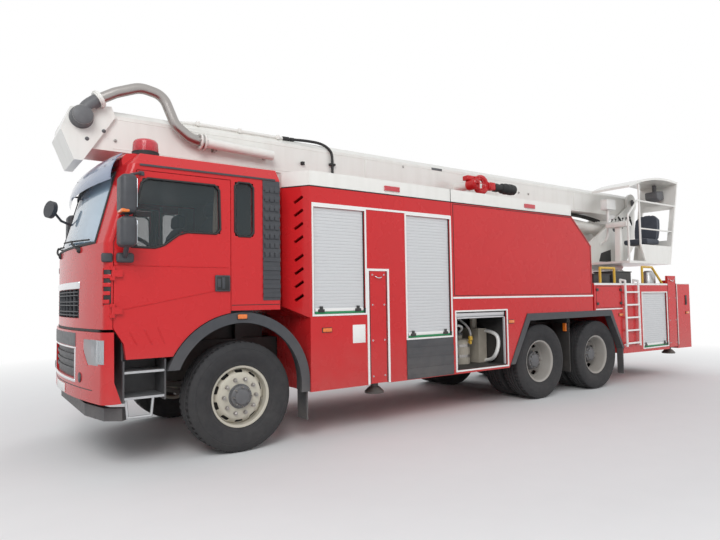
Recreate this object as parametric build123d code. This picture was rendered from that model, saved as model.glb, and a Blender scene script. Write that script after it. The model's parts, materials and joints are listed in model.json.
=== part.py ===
from build123d import *
import math
import os

# Fire truck with an elevating water tower on a three-axle cab-over chassis, in millimetres.
# Working frame: X forward from the front axle, Y to the vehicle's left, Z up from the ground.

# Overall reach ahead of and behind the front axle, and the usual clearances.
NOSE_REACH = 1490.0
TAIL_REACH = 8960.0
FIT = 0.3
PANEL_GAP = 6.0

# Wheels and axles.
WHEELBASE = 4600.0
BOGIE_SPREAD = 1400.0
TYRE_RADIUS = 535.0
TYRE_WIDTH = 310.0
TREAD_WIDTH = 220.0
SIDEWALL_RADIUS = 450.0
BEAD_RADIUS = 300.0
RIM_WIDTH = 236.0
RIM_GAUGE = 28.0
NUT_RING_RADIUS = 215.0
HUB_RADIUS = 110.0
FRONT_WHEEL_Y = 1035.0
REAR_WHEEL_Y = 1045.0
TWIN_SPACING = 350.0
KINGPIN_Y = 930.0
KINGPIN_RADIUS = 22.0
KINGPIN_BOSS_RADIUS = 50.0
KINGPIN_BOSS_HEIGHT = 155.4
KNUCKLE_PLATE = 20.0
SPINDLE_RADIUS = 45.0
SPINDLE_LENGTH = 90.0
REAR_SPINDLE_RADIUS = 70.0
AXLE_TUBE_RADIUS = 90.0
DIFF_RADIUS = 200.0
DIFF_LENGTH = 300.0
BEAM_WIDTH = 90.0
BEAM_DROP = 75.0
SPRING_Y = 430.0
SPRING_WIDTH = 90.0
LEAF = 20.0
LEAVES = 3
FRONT_SPRING_HALF = 800.0
FRONT_SPRING_RADIUS = 1870.0
BOGIE_SPRING_RADIUS = 3540.0

# Ladder frame and driveline.
RAIL_LOW = 770.0
RAIL_TOP = 1050.0
RAIL_HALF = 430.0
RAIL_FLANGE = 80.0
RAIL_GAUGE = 10.0
RAIL_FRONT = 1150.0
RAIL_BACK = -8500.0
FRONT_BEAM_X = 1330.0
CAB_POSTS = (950.0, -290.0)
ENGINE_HALF = 330.0
ENGINE_TOP = 1320.0
ENGINE_LOW = 640.0
SHAFT_RADIUS = 50.0

# Cab.
CAB_NOSE = 1400.0
CAB_BOW = 147.0
CAB_SET_IN = 30.0
FRONT_ZONE = (900.0, 1600.0)
PANEL_INSET = 220.0
SCREEN_INSET = 210.0
SCREEN_TAPER = 50.0
CAB_CORNER = 70.0
CAB_REAR = -400.0
CAB_LOW = 1240.0
CAB_FLOOR_LOW = 1375.0
CAB_FLOOR_TOP = 1430.0
CAB_WAIST = 1990.0
CAB_EAVES = 2700.0
CAB_ROOF = 2815.0
CAB_WALL = 60.0
CROWN_INSET = 90.0
CROWN_SET = 30.0
WINDSCREEN_RAKE = 200.0
GLASS = 8.0
GLASS_DEPTH = 12.0
SKIRT_EDGE = 735.0
BUMPER_PROUD = 20.0
BUMPER_LOW = 606.0
BUMPER_TOP = 1215.0
LAMP_LOW = 930.0
LAMP_TOP = 1150.0
LAMP_IN = 820.0
LAMP_OUT = 1130.0
GRILLE_HALF = 620.0
GRILLE_LOW = 1330.0
GRILLE_TOP = 1600.0
INTAKE_HALF = 560.0
INTAKE_LOW = 780.0
INTAKE_TOP = 1050.0
DOOR_REAR = 131.0
DOOR_FRONT = 1191.0
DOOR_LOW = 975.0
DOOR_TOP = 2640.0
DOOR_WALL = 60.0
HINGE_X = 1194.0
HINGE_OUT = 18.0
HINGE_RADIUS = 14.0
HINGE_PIN = 8.0
HINGE_LENGTH = 58.0
HINGE_HEIGHTS = (1400.0, 1720.0)
STEP_INNER = 880.0
STEP_SET_IN = 15.0
STEP_FRONT = 1110.0
STEP_BACK = 740.0
STEP_LOW = 600.0
MIRROR_REACH = 260.0

# Front wheel arch.
ARCH_X = 20.0
ARCH_Z = 600.0
ARCH_RADIUS = 755.0
ARCH_LIP = 100.0
ARCH_SKIN = 30.0

# Bodywork.
BODY_HALF = 1250.0
BODY_WALL = 50.0
BODY_LOW = 510.0
BODY_TOP = 2680.0
BODY_FRONT = -550.0
BODY_EDGE = -737.0
BODY_CHAMFER_Y = 980.0
BODY_SPLIT = -2797.0
SPLIT_GAP = 6.0
TUNNEL_HALF = 480.0
BAND_TOP = 2840.0
BAND_WIDTH = 60.0
FRAME_WIDTH = 20.0
FRAME_PROUD = 8.0
SHUTTER_DEPTH = 27.0
SLAT = 50.0
ARCH_TOP = 1230.0
TANK_REAR = -5827.0
TANK_SHOULDER = -5333.0
TANK_SLANT_Z = 2240.0
BAY_FRONT = -2850.0
BAY_REAR = -3800.0
BAY_LOW = 554.0
BAY_TOP = 1283.0
CABINET_FRONT = -5870.0
DECK = 1660.0
CABINET_LOW = 480.0

# Shutter frames, outside edges: front edge, rear edge, bottom, top.
LOCKER_1 = (-760.0, -1468.0, 1293.0, 2476.0)
LOCKER_2 = (-2034.0, -2790.0, 978.0, 2476.0)
LOCKER_3 = (-7259.0, -8122.0, 545.0, 1518.0)

# Outriggers.
OUTRIGGER_FRONT_X = -1626.0
OUTRIGGER_REAR_X = -8300.0
BEAM_SIZE = 100.0
BEAM_HEIGHT = 124.7
BEAM_PITCH = 132.0
BEAM_BOTTOM = 555.3
BEAM_REACH = 1000.0
CHANNEL_WALL = 15.0
CHANNEL_HALF = 1050.0
COVER_DEPTH = 35.0
LEG_DEPTH = 135.0
LEG_WIDTH = 148.0
LEG_LOW = 535.0
LEG_TOP = 1720.0
COVER_TOP = 1800.0
JACK_RADIUS = 45.0
FOOT_LOW = 400.0
FOOT_TOP = 470.0
FOOT_RADIUS = 110.0

# Turntable, booms and monitor.
SLEW_X = -7600.0
DRUM_RADIUS = 560.0
DRUM_TOP = 1850.0
TURNTABLE_RADIUS = 680.0
TURNTABLE_TOP = 1910.0
MAST_IN = 270.0
MAST_PLATE = 40.0
LIFT_X = -8750.0
LIFT_Z = 3300.0
LIFT_PIN = 60.0
BARREL_X = -8100.0
BARREL_Z = 2750.0
BARREL_PIN = 50.0
BARREL_RADIUS = 100.0
BARREL_LENGTH = 1900.0
ROD_RADIUS = 60.0
ROD_EYE_X = -5750.0
ROD_EYE_Z = 2930.0
BOOM_HALF = 260.0
BOOM_LOW = 3020.0
BOOM_TOP = 3450.0
BOOM_WALL = 12.0
BOOM_TAIL = -8880.0
BOOM_TIP = 1200.0
HEAD_HALF = 310.0
ELBOW_X = 1310.0
ELBOW_Z = 3305.0
PIPE_RADIUS = 54.0
PIPE_Y = 366.0
JIB_IN = 340.0
JIB_WIDTH = 180.0
JIB_PIN = 50.0
JIB_TIP = -3600.0
MONITOR_X = -3900.0
MONITOR_Z = 3130.0
MONITOR_Y = 600.0
MONITOR_PIN = 40.0
STATION_IN = 420.0
STATION_OUT = 1130.0
STATION_FLOOR = 2020.0

# Places that follow from the sizes above.
FRAME_SHIFT = (TAIL_REACH - NOSE_REACH) / 2
HUB_Z = TYRE_RADIUS
DRIVE_1 = -WHEELBASE
DRIVE_2 = -WHEELBASE - BOGIE_SPREAD
BOGIE_X = (DRIVE_1 + DRIVE_2) / 2
RIM_FIT = BEAD_RADIUS - FIT
RIM_IN = BEAD_RADIUS - RIM_GAUGE
KNUCKLE_IN = KINGPIN_Y + KINGPIN_BOSS_RADIUS + 5.0
KNUCKLE_OUT = KNUCKLE_IN + KNUCKLE_PLATE
CAB_HALF = BODY_HALF - CAB_SET_IN
STEP_OUTER = CAB_HALF - STEP_SET_IN
MIRROR_OUT = CAB_HALF + MIRROR_REACH
LEG_OUT = BODY_HALF - COVER_DEPTH
LEG_IN = LEG_OUT - LEG_DEPTH
HINGE_Y = CAB_HALF + HINGE_OUT
SHUTTER_FACE = BODY_HALF - 18.0

SIDES = (("left", 1), ("right", -1))


def block(x0, x1, y0, y1, z0, z1):
    """A box between two corners."""
    centre = Pos((x0 + x1) / 2, (y0 + y1) / 2, (z0 + z1) / 2)
    return centre * Box(abs(x1 - x0), abs(y1 - y0), abs(z1 - z0))


def outline(points):
    """A flat face inside a closed run of straight edges."""
    return make_face(Polyline(*points, close=True))


def side_solid(face, y0, y1):
    """A face drawn in side view, x and z, carried from one y plane to another."""
    view = Plane(origin=(0, y0, 0), x_dir=(1, 0, 0), z_dir=(0, -1, 0))
    return extrude(view * face, amount=y1 - y0, dir=(0, 1, 0))


def side_plate(points, y0, y1):
    """A plate with a straight-edged outline in side view."""
    return side_solid(outline(points), y0, y1)


def cross_plate(points, x0, x1):
    """A plate with an outline seen from the front, y and z."""
    view = Plane(origin=(x0, 0, 0), x_dir=(0, 1, 0), z_dir=(1, 0, 0))
    return extrude(view * outline(points), amount=x1 - x0, dir=(1, 0, 0))


def plan_solid(face, z0, z1):
    """A face drawn in plan, carried up from one height to another."""
    return extrude(Pos(0, 0, z0) * face, amount=z1 - z0, dir=(0, 0, 1))


def rod(start, end, radius):
    """A round bar from one point to another."""
    run = Vector(*end) - Vector(*start)
    bar = Cylinder(radius, run.length, align=(Align.CENTER, Align.CENTER, Align.MIN))
    return Plane(origin=start, z_dir=run) * bar


def cross_rod(x, z, y0, y1, radius):
    """A round bar lying across the vehicle."""
    return rod((x, y0, z), (x, y1, z), radius)


def turned(points, x, y, z, side=1):
    """A turned piece on a cross axis: radius and distance outwards for each point."""
    profile = outline([(radius, side * out) for radius, out in points])
    return Pos(x, y, z) * revolve(profile, Axis.Y)


def union(*pieces):
    """Pieces joined into one."""
    return Part() + list(pieces)


def flip(piece):
    """The same piece on the other side of the vehicle."""
    return mirror(piece, about=Plane.XZ)


def sided(piece, side):
    """A piece drawn for the left, on the side that is asked for."""
    return piece if side > 0 else flip(piece)


def both(piece):
    """A left piece and its mirror image."""
    return union(piece, flip(piece))


def save(name, *pieces):
    """Writes one sub-part, with the origin under the middle of the vehicle."""
    solids = [solid for piece in pieces for solid in piece.solids()]
    export_step(Pos(FRAME_SHIFT, 0, 0) * Compound(solids), f"parts/{name}.step")


def pipe_run(points, radii, radius):
    """A round pipe along straight runs joined by bends."""
    path = FilletPolyline(*points, radius=radii)
    section = Plane(origin=path @ 0, z_dir=path % 0) * Circle(radius)
    return sweep(section, path=path)


def tyre(x, y):
    """Tyre body without its tread pattern."""
    half = TYRE_WIDTH / 2
    bead = RIM_WIDTH / 2
    tread = TREAD_WIDTH / 2
    edge = [(BEAD_RADIUS, -bead), (SIDEWALL_RADIUS, -half), (TYRE_RADIUS, -tread)]
    return turned(edge + [(radius, -out) for radius, out in reversed(edge)], x, y, HUB_Z)


def front_rim(side):
    """Steered wheel: convex disc, nut ring and a hub with a blind bore for its spindle."""
    bead = RIM_WIDTH / 2
    bore = SPINDLE_RADIUS + FIT
    inner = KNUCKLE_OUT + 1.0 - FRONT_WHEEL_Y
    depth = KNUCKLE_OUT + SPINDLE_LENGTH + 1.0 - FRONT_WHEEL_Y
    profile = [(bore, inner), (bore, depth), (0, depth), (0, 165), (85, 165), (HUB_RADIUS, 140),
               (HUB_RADIUS, 95), (NUT_RING_RADIUS, 95), (RIM_IN, 20), (RIM_IN, bead), (RIM_FIT, bead),
               (RIM_FIT, -bead), (RIM_IN, -bead), (RIM_IN, 0), (NUT_RING_RADIUS, 75), (HUB_RADIUS, 75),
               (HUB_RADIUS, inner)]
    return turned(profile, 0, side * FRONT_WHEEL_Y, HUB_Z, side)


def rear_rim(x, side):
    """Twin wheel: two dished discs back to back on one hub with a blind bore."""
    bead = RIM_WIDTH / 2
    bore = REAR_SPINDLE_RADIUS + FIT
    twin = -TWIN_SPACING
    middle = twin / 2
    profile = [(0, 40), (120, 40), (120, -20), (145, -40), (145, middle + 20), (NUT_RING_RADIUS, middle + 20),
               (RIM_IN, -80), (RIM_IN, bead), (RIM_FIT, bead), (RIM_FIT, -bead), (RIM_IN + 16, -bead),
               (NUT_RING_RADIUS + 13, middle), (RIM_IN + 16, twin + bead), (RIM_FIT, twin + bead),
               (RIM_FIT, twin - bead), (RIM_IN, twin - bead), (RIM_IN, twin + 80),
               (NUT_RING_RADIUS, middle - 20), (145, middle - 20), (145, -300), (205, -330), (205, -470),
               (bore, -470), (bore, -60), (0, -60)]
    return turned(profile, x, side * REAR_WHEEL_Y, HUB_Z, side)


def wheels():
    """Two steered wheels and four twin wheels."""
    for name, side in SIDES:
        save(f"tyre_front_{name}", tyre(0, side * FRONT_WHEEL_Y))
        save(f"rim_front_{name}", front_rim(side))
        for axle, x in (("drive_1", DRIVE_1), ("drive_2", DRIVE_2)):
            outer = tyre(x, side * REAR_WHEEL_Y)
            inner = tyre(x, side * (REAR_WHEEL_Y - TWIN_SPACING))
            save(f"tyres_{axle}_{name}", outer, inner)
            save(f"rim_{axle}_{name}", rear_rim(x, side))


def knuckles():
    """Steering knuckles: kingpin, two lugs round the beam's boss, plate and spindle."""
    lug_low = KINGPIN_BOSS_HEIGHT / 2 + FIT
    lug_top = lug_low + 37.0
    lug_in = KINGPIN_Y - 40.0
    pin = rod((0, KINGPIN_Y, HUB_Z - lug_top), (0, KINGPIN_Y, HUB_Z + lug_top), KINGPIN_RADIUS)
    upper = block(-40, 40, lug_in, KNUCKLE_IN, HUB_Z + lug_low, HUB_Z + lug_top)
    lower = block(-40, 40, lug_in, KNUCKLE_IN, HUB_Z - lug_top, HUB_Z - lug_low)
    plate = block(-90, 90, KNUCKLE_IN, KNUCKLE_OUT, HUB_Z - 120, HUB_Z + 120)
    spindle = cross_rod(0, HUB_Z, KNUCKLE_OUT, KNUCKLE_OUT + SPINDLE_LENGTH, SPINDLE_RADIUS)
    knuckle = union(pin, upper, lower, plate, spindle)
    for name, side in SIDES:
        save(f"knuckle_{name}", sided(knuckle, side))


def leaf_pack(x, top_z, half, radius, shorter, hanging):
    """A stack of bowed leaves; hanging leaves bow downwards, the others upwards."""
    pieces = []
    for number in range(LEAVES):
        reach = half - shorter * number
        inner = radius + LEAF * number if hanging else radius - LEAF * (number + 1)
        centre_z = top_z + radius if hanging else top_z - radius + LEAF * LEAVES
        if not hanging:
            inner = radius - LEAF * (LEAVES - number)
        y0, y1 = SPRING_Y - SPRING_WIDTH / 2, SPRING_Y + SPRING_WIDTH / 2
        ring = cross_rod(x, centre_z, y0, y1, inner + LEAF) - cross_rod(x, centre_z, y0 - 1, y1 + 1, inner)
        pieces.append(ring & block(x - reach, x + reach, y0, y1, RAIL_LOW - 480, RAIL_LOW - 10))
    return union(*pieces)


def axles():
    """Dropped front beam and two driven axles on their leaf springs."""
    y0, y1 = SPRING_Y - SPRING_WIDTH / 2, SPRING_Y + SPRING_WIDTH / 2
    half = BEAM_WIDTH / 2
    seat_z = HUB_Z - BEAM_DROP
    profile = [(900, HUB_Z - 30), (900, HUB_Z + 30), (780, HUB_Z + 30), (640, seat_z)]
    lower = [(660, seat_z - 70), (800, HUB_Z - 30)]
    left = profile + [(0, seat_z), (0, seat_z - 70)] + lower
    beam = both(cross_plate(left, -half, half))
    boss_z = KINGPIN_BOSS_HEIGHT / 2
    boss = rod((0, KINGPIN_Y, HUB_Z - boss_z), (0, KINGPIN_Y, HUB_Z + boss_z), KINGPIN_BOSS_RADIUS)
    bore = rod((0, KINGPIN_Y, 0), (0, KINGPIN_Y, 2 * HUB_Z), KINGPIN_RADIUS + FIT)
    spring = leaf_pack(0, seat_z + LEAF * LEAVES, FRONT_SPRING_HALF, FRONT_SPRING_RADIUS, 190, True)
    seat = block(-half - 20, half + 20, y0 - 5, y1 + 5, seat_z - 30, seat_z + LEAF * LEAVES + 25)
    shackles = [block(side * (FRONT_SPRING_HALF - 45), side * FRONT_SPRING_HALF, y0, y1, RAIL_LOW - 130, RAIL_LOW)
                for side in (1, -1)]
    corner = union(spring, seat, *shackles)
    front = union(beam, both(boss - bore), both(corner))
    front = front - both(bore)

    driven = []
    spindle_end = REAR_WHEEL_Y - 61.0
    for x in (DRIVE_1, DRIVE_2):
        tube = cross_rod(x, HUB_Z, -560, 560, AXLE_TUBE_RADIUS)
        spindle = cross_rod(x, HUB_Z, -spindle_end, spindle_end, REAR_SPINDLE_RADIUS)
        centre = rod((x - DIFF_LENGTH / 2, 0, HUB_Z), (x + DIFF_LENGTH / 2, 0, HUB_Z), DIFF_RADIUS)
        driven += [tube, spindle, centre]
        for side in (1, -1):
            pad = block(x - 70, x + 70, side * y0, side * y1, HUB_Z, HUB_Z + AXLE_TUBE_RADIUS + 45)
            driven.append(pad)
    crown = HUB_Z + AXLE_TUBE_RADIUS + 65
    pack = leaf_pack(BOGIE_X, crown, BOGIE_SPREAD / 2 + 60, BOGIE_SPRING_RADIUS, 200, False)
    saddle = block(BOGIE_X - 90, BOGIE_X + 90, y0, y1, crown, RAIL_LOW)
    save("axles", front, union(*driven, both(union(pack, saddle))))


def chassis_frame():
    """Two channel rails, their cross-members, the cab posts and the front beam behind the bumper."""
    out, inn, web = RAIL_HALF, RAIL_HALF - RAIL_FLANGE, RAIL_HALF - RAIL_GAUGE
    low, top, gauge = RAIL_LOW, RAIL_TOP, RAIL_GAUGE
    channel = [(out, low), (out, top), (inn, top), (inn, top - gauge), (web, top - gauge), (web, low + gauge),
               (inn, low + gauge), (inn, low)]
    rails = both(cross_plate(channel, RAIL_BACK, RAIL_FRONT))
    members = [block(x - 30, x + 30, -web, web, low + 90, top - gauge)
               for x in (1000, -1700, -2500, -4000, BOGIE_X, -6900, -8000)]
    nose = block(RAIL_FRONT, FRONT_BEAM_X, -out, out, low + 20, top - 20)
    posts = [both(block(x - 40, x + 40, inn, out, top, CAB_FLOOR_LOW)) for x in CAB_POSTS]
    save("chassis_frame", union(rails, nose, *members, *posts))


def drive_train():
    """Engine block with radiator and gearbox, and the shafts to both driven axles."""
    web = RAIL_HALF - RAIL_GAUGE
    engine = block(-620, 640, -ENGINE_HALF, ENGINE_HALF, ENGINE_LOW, ENGINE_TOP)
    mounts = block(300, 420, -web, web, RAIL_LOW + 100, RAIL_LOW + 180)
    radiator = block(640, 800, -ENGINE_HALF, ENGINE_HALF, ENGINE_LOW + 60, ENGINE_TOP - 20)
    gearbox = block(-1450, -620, -230, 230, ENGINE_LOW + 20, RAIL_TOP - 30)
    input_x = DRIVE_1 + DIFF_LENGTH / 2
    input_z = HUB_Z + 65
    shaft = rod((-1440, 0, RAIL_LOW + 20), (input_x + 20, 0, input_z), SHAFT_RADIUS)
    flange = rod((input_x, 0, input_z), (input_x + 40, 0, input_z), SHAFT_RADIUS + 15)
    link = rod((DRIVE_1 - DIFF_LENGTH / 2, 0, HUB_Z + 25), (DRIVE_2 + DIFF_LENGTH / 2, 0, HUB_Z + 25), SHAFT_RADIUS)
    save("drive_train", union(engine, mounts, radiator, gearbox, shaft, flange), link)


def cab_plan(inset):
    """Cab outline in plan, moved inwards: bowed front, rounded front corners, square back."""
    bow = (CAB_HALF**2 + CAB_BOW**2) / (2 * CAB_BOW)
    half = CAB_HALF - inset
    corner = CAB_NOSE - bow + math.sqrt((bow - inset)**2 - half**2)
    back = CAB_REAR - 400.0
    edges = Curve() + [Polyline((corner, -half), (back, -half), (back, half), (corner, half)),
                       ThreePointArc((corner, half), (CAB_NOSE - inset, 0), (corner, -half))]
    face = make_face(edges)
    return fillet(face.vertices().sort_by(Axis.X)[-2:], max(CAB_CORNER - inset, 8.0))


def cab_slab(outer, inner, z0, z1):
    """A curved strip that follows the front of the cab below the waist."""
    return plan_solid(cab_plan(outer) - cab_plan(inner), z0, z1) & block(600, 1700, -1400, 1400, z0, z1)


def raked(face, z0, z1):
    """A plan carried up along the slope of the windscreen."""
    lean = WINDSCREEN_RAKE * (z1 - z0) / (CAB_EAVES - CAB_WAIST)
    return Part() + Solid.extrude((Pos(0, 0, z0) * face).faces()[0], Vector(-lean, 0, z1 - z0))


def cab_form(inset, low, roof):
    """Cab volume: upright to the waist, raked to the eaves, then crowned."""
    plan = cab_plan(inset)
    crown_base = Pos(-WINDSCREEN_RAKE, 0, CAB_EAVES) * plan
    crown_top = Pos(-WINDSCREEN_RAKE - CROWN_SET, 0, roof) * cab_plan(inset + CROWN_INSET)
    crown = loft([crown_base.faces()[0], crown_top.faces()[0]], ruled=True)
    whole = union(plan_solid(plan, low, CAB_WAIST), raked(plan, CAB_WAIST, CAB_EAVES), crown)
    return whole & block(CAB_REAR + inset, CAB_NOSE + 100, -CAB_HALF - 10, CAB_HALF + 10, low, roof)


def door_face(grow):
    """Side view of a cab door, with its rear edge round the wheel arch."""
    reach = ARCH_RADIUS + PANEL_GAP
    low_x = ARCH_X + math.sqrt(reach**2 - (DOOR_LOW - ARCH_Z)**2)
    rear_z = ARCH_Z + math.sqrt(reach**2 - (DOOR_REAR - ARCH_X)**2)
    bend = math.radians(55)
    middle = (ARCH_X + reach * math.cos(bend), ARCH_Z + reach * math.sin(bend))
    edges = Curve() + [
        Polyline((DOOR_REAR, rear_z), (DOOR_REAR, DOOR_TOP), (DOOR_FRONT - 191, DOOR_TOP),
                 (DOOR_FRONT - 3, CAB_WAIST), (DOOR_FRONT, 1250), (DOOR_FRONT - 86, 1110),
                 (DOOR_FRONT - 106, DOOR_LOW), (low_x, DOOR_LOW)),
        ThreePointArc((low_x, DOOR_LOW), middle, (DOOR_REAR, rear_z))]
    face = make_face(edges)
    return offset(face, amount=grow) if grow else face


def door_window():
    """Door window with its stepped lower line."""
    low = CAB_WAIST - 35
    return outline([(1085, low), (800, low), (600, low + 155), (232, low + 155), (245, DOOR_TOP - 65),
                    (955, DOOR_TOP - 65)])


def hinge_lugs():
    """Hinge halves on the left of the cab, with pins that stand through the door's knuckles."""
    pieces = []
    for z in HINGE_HEIGHTS:
        reach = HINGE_LENGTH / 2 + FIT
        pieces.append(rod((HINGE_X, HINGE_Y, z - reach - 30), (HINGE_X, HINGE_Y, z + reach + 30), HINGE_PIN))
        for z0, z1 in ((z - reach - 30, z - reach), (z + reach, z + reach + 30)):
            pieces.append(rod((HINGE_X, HINGE_Y, z0), (HINGE_X, HINGE_Y, z1), HINGE_RADIUS))
            pieces.append(block(DOOR_FRONT + PANEL_GAP + 2, DOOR_FRONT + 32, CAB_HALF, HINGE_Y + 6, z0, z1))
            pieces.append(block(HINGE_X, DOOR_FRONT + 32, HINGE_Y - 6, HINGE_Y + 6, z0, z1))
    return union(*pieces)


def cab_shell():
    """Hollow cab with its floor, split from the front panel, with door and window openings."""
    inner_low = CAB_HALF - DOOR_WALL - PANEL_GAP
    shell = cab_form(0, CAB_LOW, CAB_ROOF) - cab_form(CAB_WALL, CAB_FLOOR_TOP, CAB_ROOF - CAB_WALL)
    shell -= plan_solid(cab_plan(CAB_WALL), CAB_LOW, CAB_FLOOR_LOW)
    shell -= block(CAB_REAR - 10, SKIRT_EDGE, -CAB_HALF - 10, CAB_HALF + 10, CAB_LOW - 5, CAB_FLOOR_LOW)
    shell -= both(side_solid(door_face(PANEL_GAP), inner_low, CAB_HALF + 50))
    shell -= both(block(-110, 85, CAB_HALF - CAB_WALL - 20, CAB_HALF + 50, 2100, 2630))
    screen = cross_plate(screen_outline(), *FRONT_ZONE)
    panel_half = CAB_HALF - PANEL_INSET
    panel_zone = block(*FRONT_ZONE, -panel_half, panel_half, CAB_LOW + 15, CAB_WAIST - 55)
    front = shell & panel_zone
    grille = block(*FRONT_ZONE, -GRILLE_HALF, GRILLE_HALF, GRILLE_LOW, GRILLE_TOP)
    save("cab_front_panel", front - grille)
    walls = shell - screen - panel_zone
    save("cab_shell", *cab_sections(walls), both(hinge_lugs()))


def cab_sections(walls):
    """The cab's walls as sections that meet: floor, roof, rear wall, two quarter sides and two front corners."""
    wide = CAB_HALF + 60
    front, rear = CAB_NOSE + 100, CAB_REAR - 10
    wall_front, quarter_front = CAB_REAR + CAB_WALL, DOOR_REAR - PANEL_GAP
    sill, lintel = CAB_FLOOR_TOP, DOOR_TOP + PANEL_GAP
    zones = [block(rear, front, -wide, wide, CAB_LOW - 10, sill),
             block(rear, front, -wide, wide, lintel, CAB_ROOF + 10),
             block(rear, wall_front, -wide, wide, sill, lintel)]
    zones += [block(x0, x1, y0, y1, sill, lintel) for x0, x1 in ((wall_front, quarter_front), (quarter_front, front))
              for y0, y1 in ((-wide, 0), (0, wide))]
    return [walls & zone for zone in zones]


def screen_outline():
    """Windscreen opening seen from the front."""
    low, top = CAB_WAIST + 10, CAB_EAVES - 50
    wide = CAB_HALF - SCREEN_INSET
    narrow = wide - SCREEN_TAPER
    return [(-wide, low), (wide, low), (narrow, top), (-narrow, top)]


def cab_glass():
    """Windscreen and quarter windows, set a little inside the skin."""
    plan = cab_plan(GLASS_DEPTH) - cab_plan(GLASS_DEPTH + GLASS)
    pane = raked(plan, CAB_WAIST, CAB_EAVES) & cross_plate(screen_outline(), *FRONT_ZONE)
    quarter_y = CAB_HALF - GLASS_DEPTH
    quarter = block(-110, 85, quarter_y - GLASS, quarter_y, 2100, 2630)
    save("cab_glass", pane, both(quarter))


def bumper():
    """Bowed bumper with lamp pockets and an intake recess, and the headlamps that fill the pockets."""
    profile = [(1600, BUMPER_LOW), (1125, BUMPER_LOW), (1185, 790), (1190, BUMPER_TOP), (1600, BUMPER_TOP)]
    form = plan_solid(cab_plan(-BUMPER_PROUD), BUMPER_LOW, BUMPER_TOP) & side_plate(profile, -1300, 1300)
    hollow = plan_solid(cab_plan(40), BUMPER_LOW - 5, BUMPER_TOP + 5)
    hollow &= block(CAB_REAR - 500, FRONT_BEAM_X, -1300, 1300, BUMPER_LOW - 5, BUMPER_TOP + 5)
    form -= hollow
    lamp_zone = both(block(1000, 1600, LAMP_IN, LAMP_OUT, LAMP_LOW, LAMP_TOP))
    intake = cab_slab(-BUMPER_PROUD - 5, 20, INTAKE_LOW, INTAKE_TOP)
    intake &= block(1000, 1600, -INTAKE_HALF, INTAKE_HALF, INTAKE_LOW, INTAKE_TOP)
    save("headlamps", form & lamp_zone)
    save("bumper", form - lamp_zone - intake)


def entry_step():
    """Left step well: back wall, two cheeks up to the cab floor and a shelf behind the door."""
    behind = CAB_HALF - DOOR_WALL - 2 * PANEL_GAP
    cheek = [(STEP_INNER, STEP_LOW), (STEP_OUTER, STEP_LOW), (STEP_OUTER, DOOR_LOW - 15), (behind, DOOR_LOW - 15),
             (behind, CAB_FLOOR_LOW), (STEP_INNER, CAB_FLOOR_LOW)]
    cheeks = [cross_plate(cheek, x, x + 15) for x in (STEP_BACK, STEP_FRONT - 15)]
    back = block(STEP_BACK, STEP_FRONT, STEP_INNER, STEP_INNER + 20, STEP_LOW, CAB_FLOOR_LOW)
    return union(back, *cheeks)


def step_treads():
    """Left treads between the cheeks, and the wire stirrup under them."""
    behind = CAB_HALF - DOOR_WALL - 2 * PANEL_GAP
    x0, x1 = STEP_BACK + 15, STEP_FRONT - 15
    y0 = STEP_INNER + 20
    treads = [block(x0, x1, y0, STEP_OUTER, 850, 870), block(x0, x1, y0, STEP_OUTER, 626, 646),
              block(x0, x1, y0, behind, 1110, 1130)]
    y = STEP_OUTER - 15
    corners = [(850, y, 626), (865, y, 470), (1065, y, 470), (1080, y, 626)]
    stirrup = union(*[rod(a, b, 12) for a, b in zip(corners, corners[1:])], *[Pos(*c) * Sphere(12) for c in corners[1:3]])
    treads[1] = union(treads[1], stirrup)
    return treads


def cab_dark_trim():
    """Dark mouldings of the cab: grille, intake, steps, underrun bar, louvres, rails, lamp bases, kerb mirror."""
    backing = cab_slab(48, 58, GRILLE_LOW, GRILLE_TOP)
    slats = [cab_slab(25, 50, z, z + 45) for z in (GRILLE_LOW + 20, GRILLE_LOW + 112, GRILLE_LOW + 205)]
    grille = union(backing, *slats) & block(600, 1700, -GRILLE_HALF, GRILLE_HALF, GRILLE_LOW, GRILLE_TOP)
    insert = [cab_slab(5, 20, INTAKE_LOW, INTAKE_TOP)]
    insert += [cab_slab(-8, 6, z, z + 30) for z in (INTAKE_LOW + 55, INTAKE_LOW + 120, INTAKE_LOW + 185)]
    intake = union(*insert) & block(600, 1700, -INTAKE_HALF, INTAKE_HALF, INTAKE_LOW, INTAKE_TOP)
    bar_line = [(1110, 1190), (1235, 1090), (1320, 700), (1320, -700), (1235, -1090), (1110, -1190), (1060, -1140),
                (1180, -1045), (1260, -680), (1260, 680), (1180, 1045), (1060, 1140)]
    bar = plan_solid(outline(bar_line), 450, 560)
    hangers = both(block(1200, 1260, RAIL_HALF - RAIL_FLANGE, RAIL_HALF, 560, RAIL_LOW + 20))
    louvres = [block(CAB_REAR, -210, CAB_HALF, CAB_HALF + 6, 1470, CAB_EAVES - 20)]
    louvres += [block(CAB_REAR, -210, CAB_HALF + 6, CAB_HALF + 14, z, z + 40) for z in range(1500, 2650, 90)]
    rail = block(-350, 980, CAB_HALF, CAB_HALF + 12, CAB_EAVES - 17, CAB_EAVES)
    lamp_base = rod((860, 950, CAB_ROOF), (860, 950, CAB_ROOF + 55), 118)
    arm = hoop([(1165, -1040, 2380), (1300, -1000, 2430), (1400, -960, 2545)], 14) - cab_form(0, CAB_LOW, CAB_ROOF)
    kerb_mirror = union(arm, rod((1395, -960, 2545), (1440, -940, 2552), 100))
    pieces = [both(entry_step()), both(union(*louvres)), both(rail), both(lamp_base)]
    save("cab_dark_trim", grille, intake, union(bar, hangers), kerb_mirror, *pieces)


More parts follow.
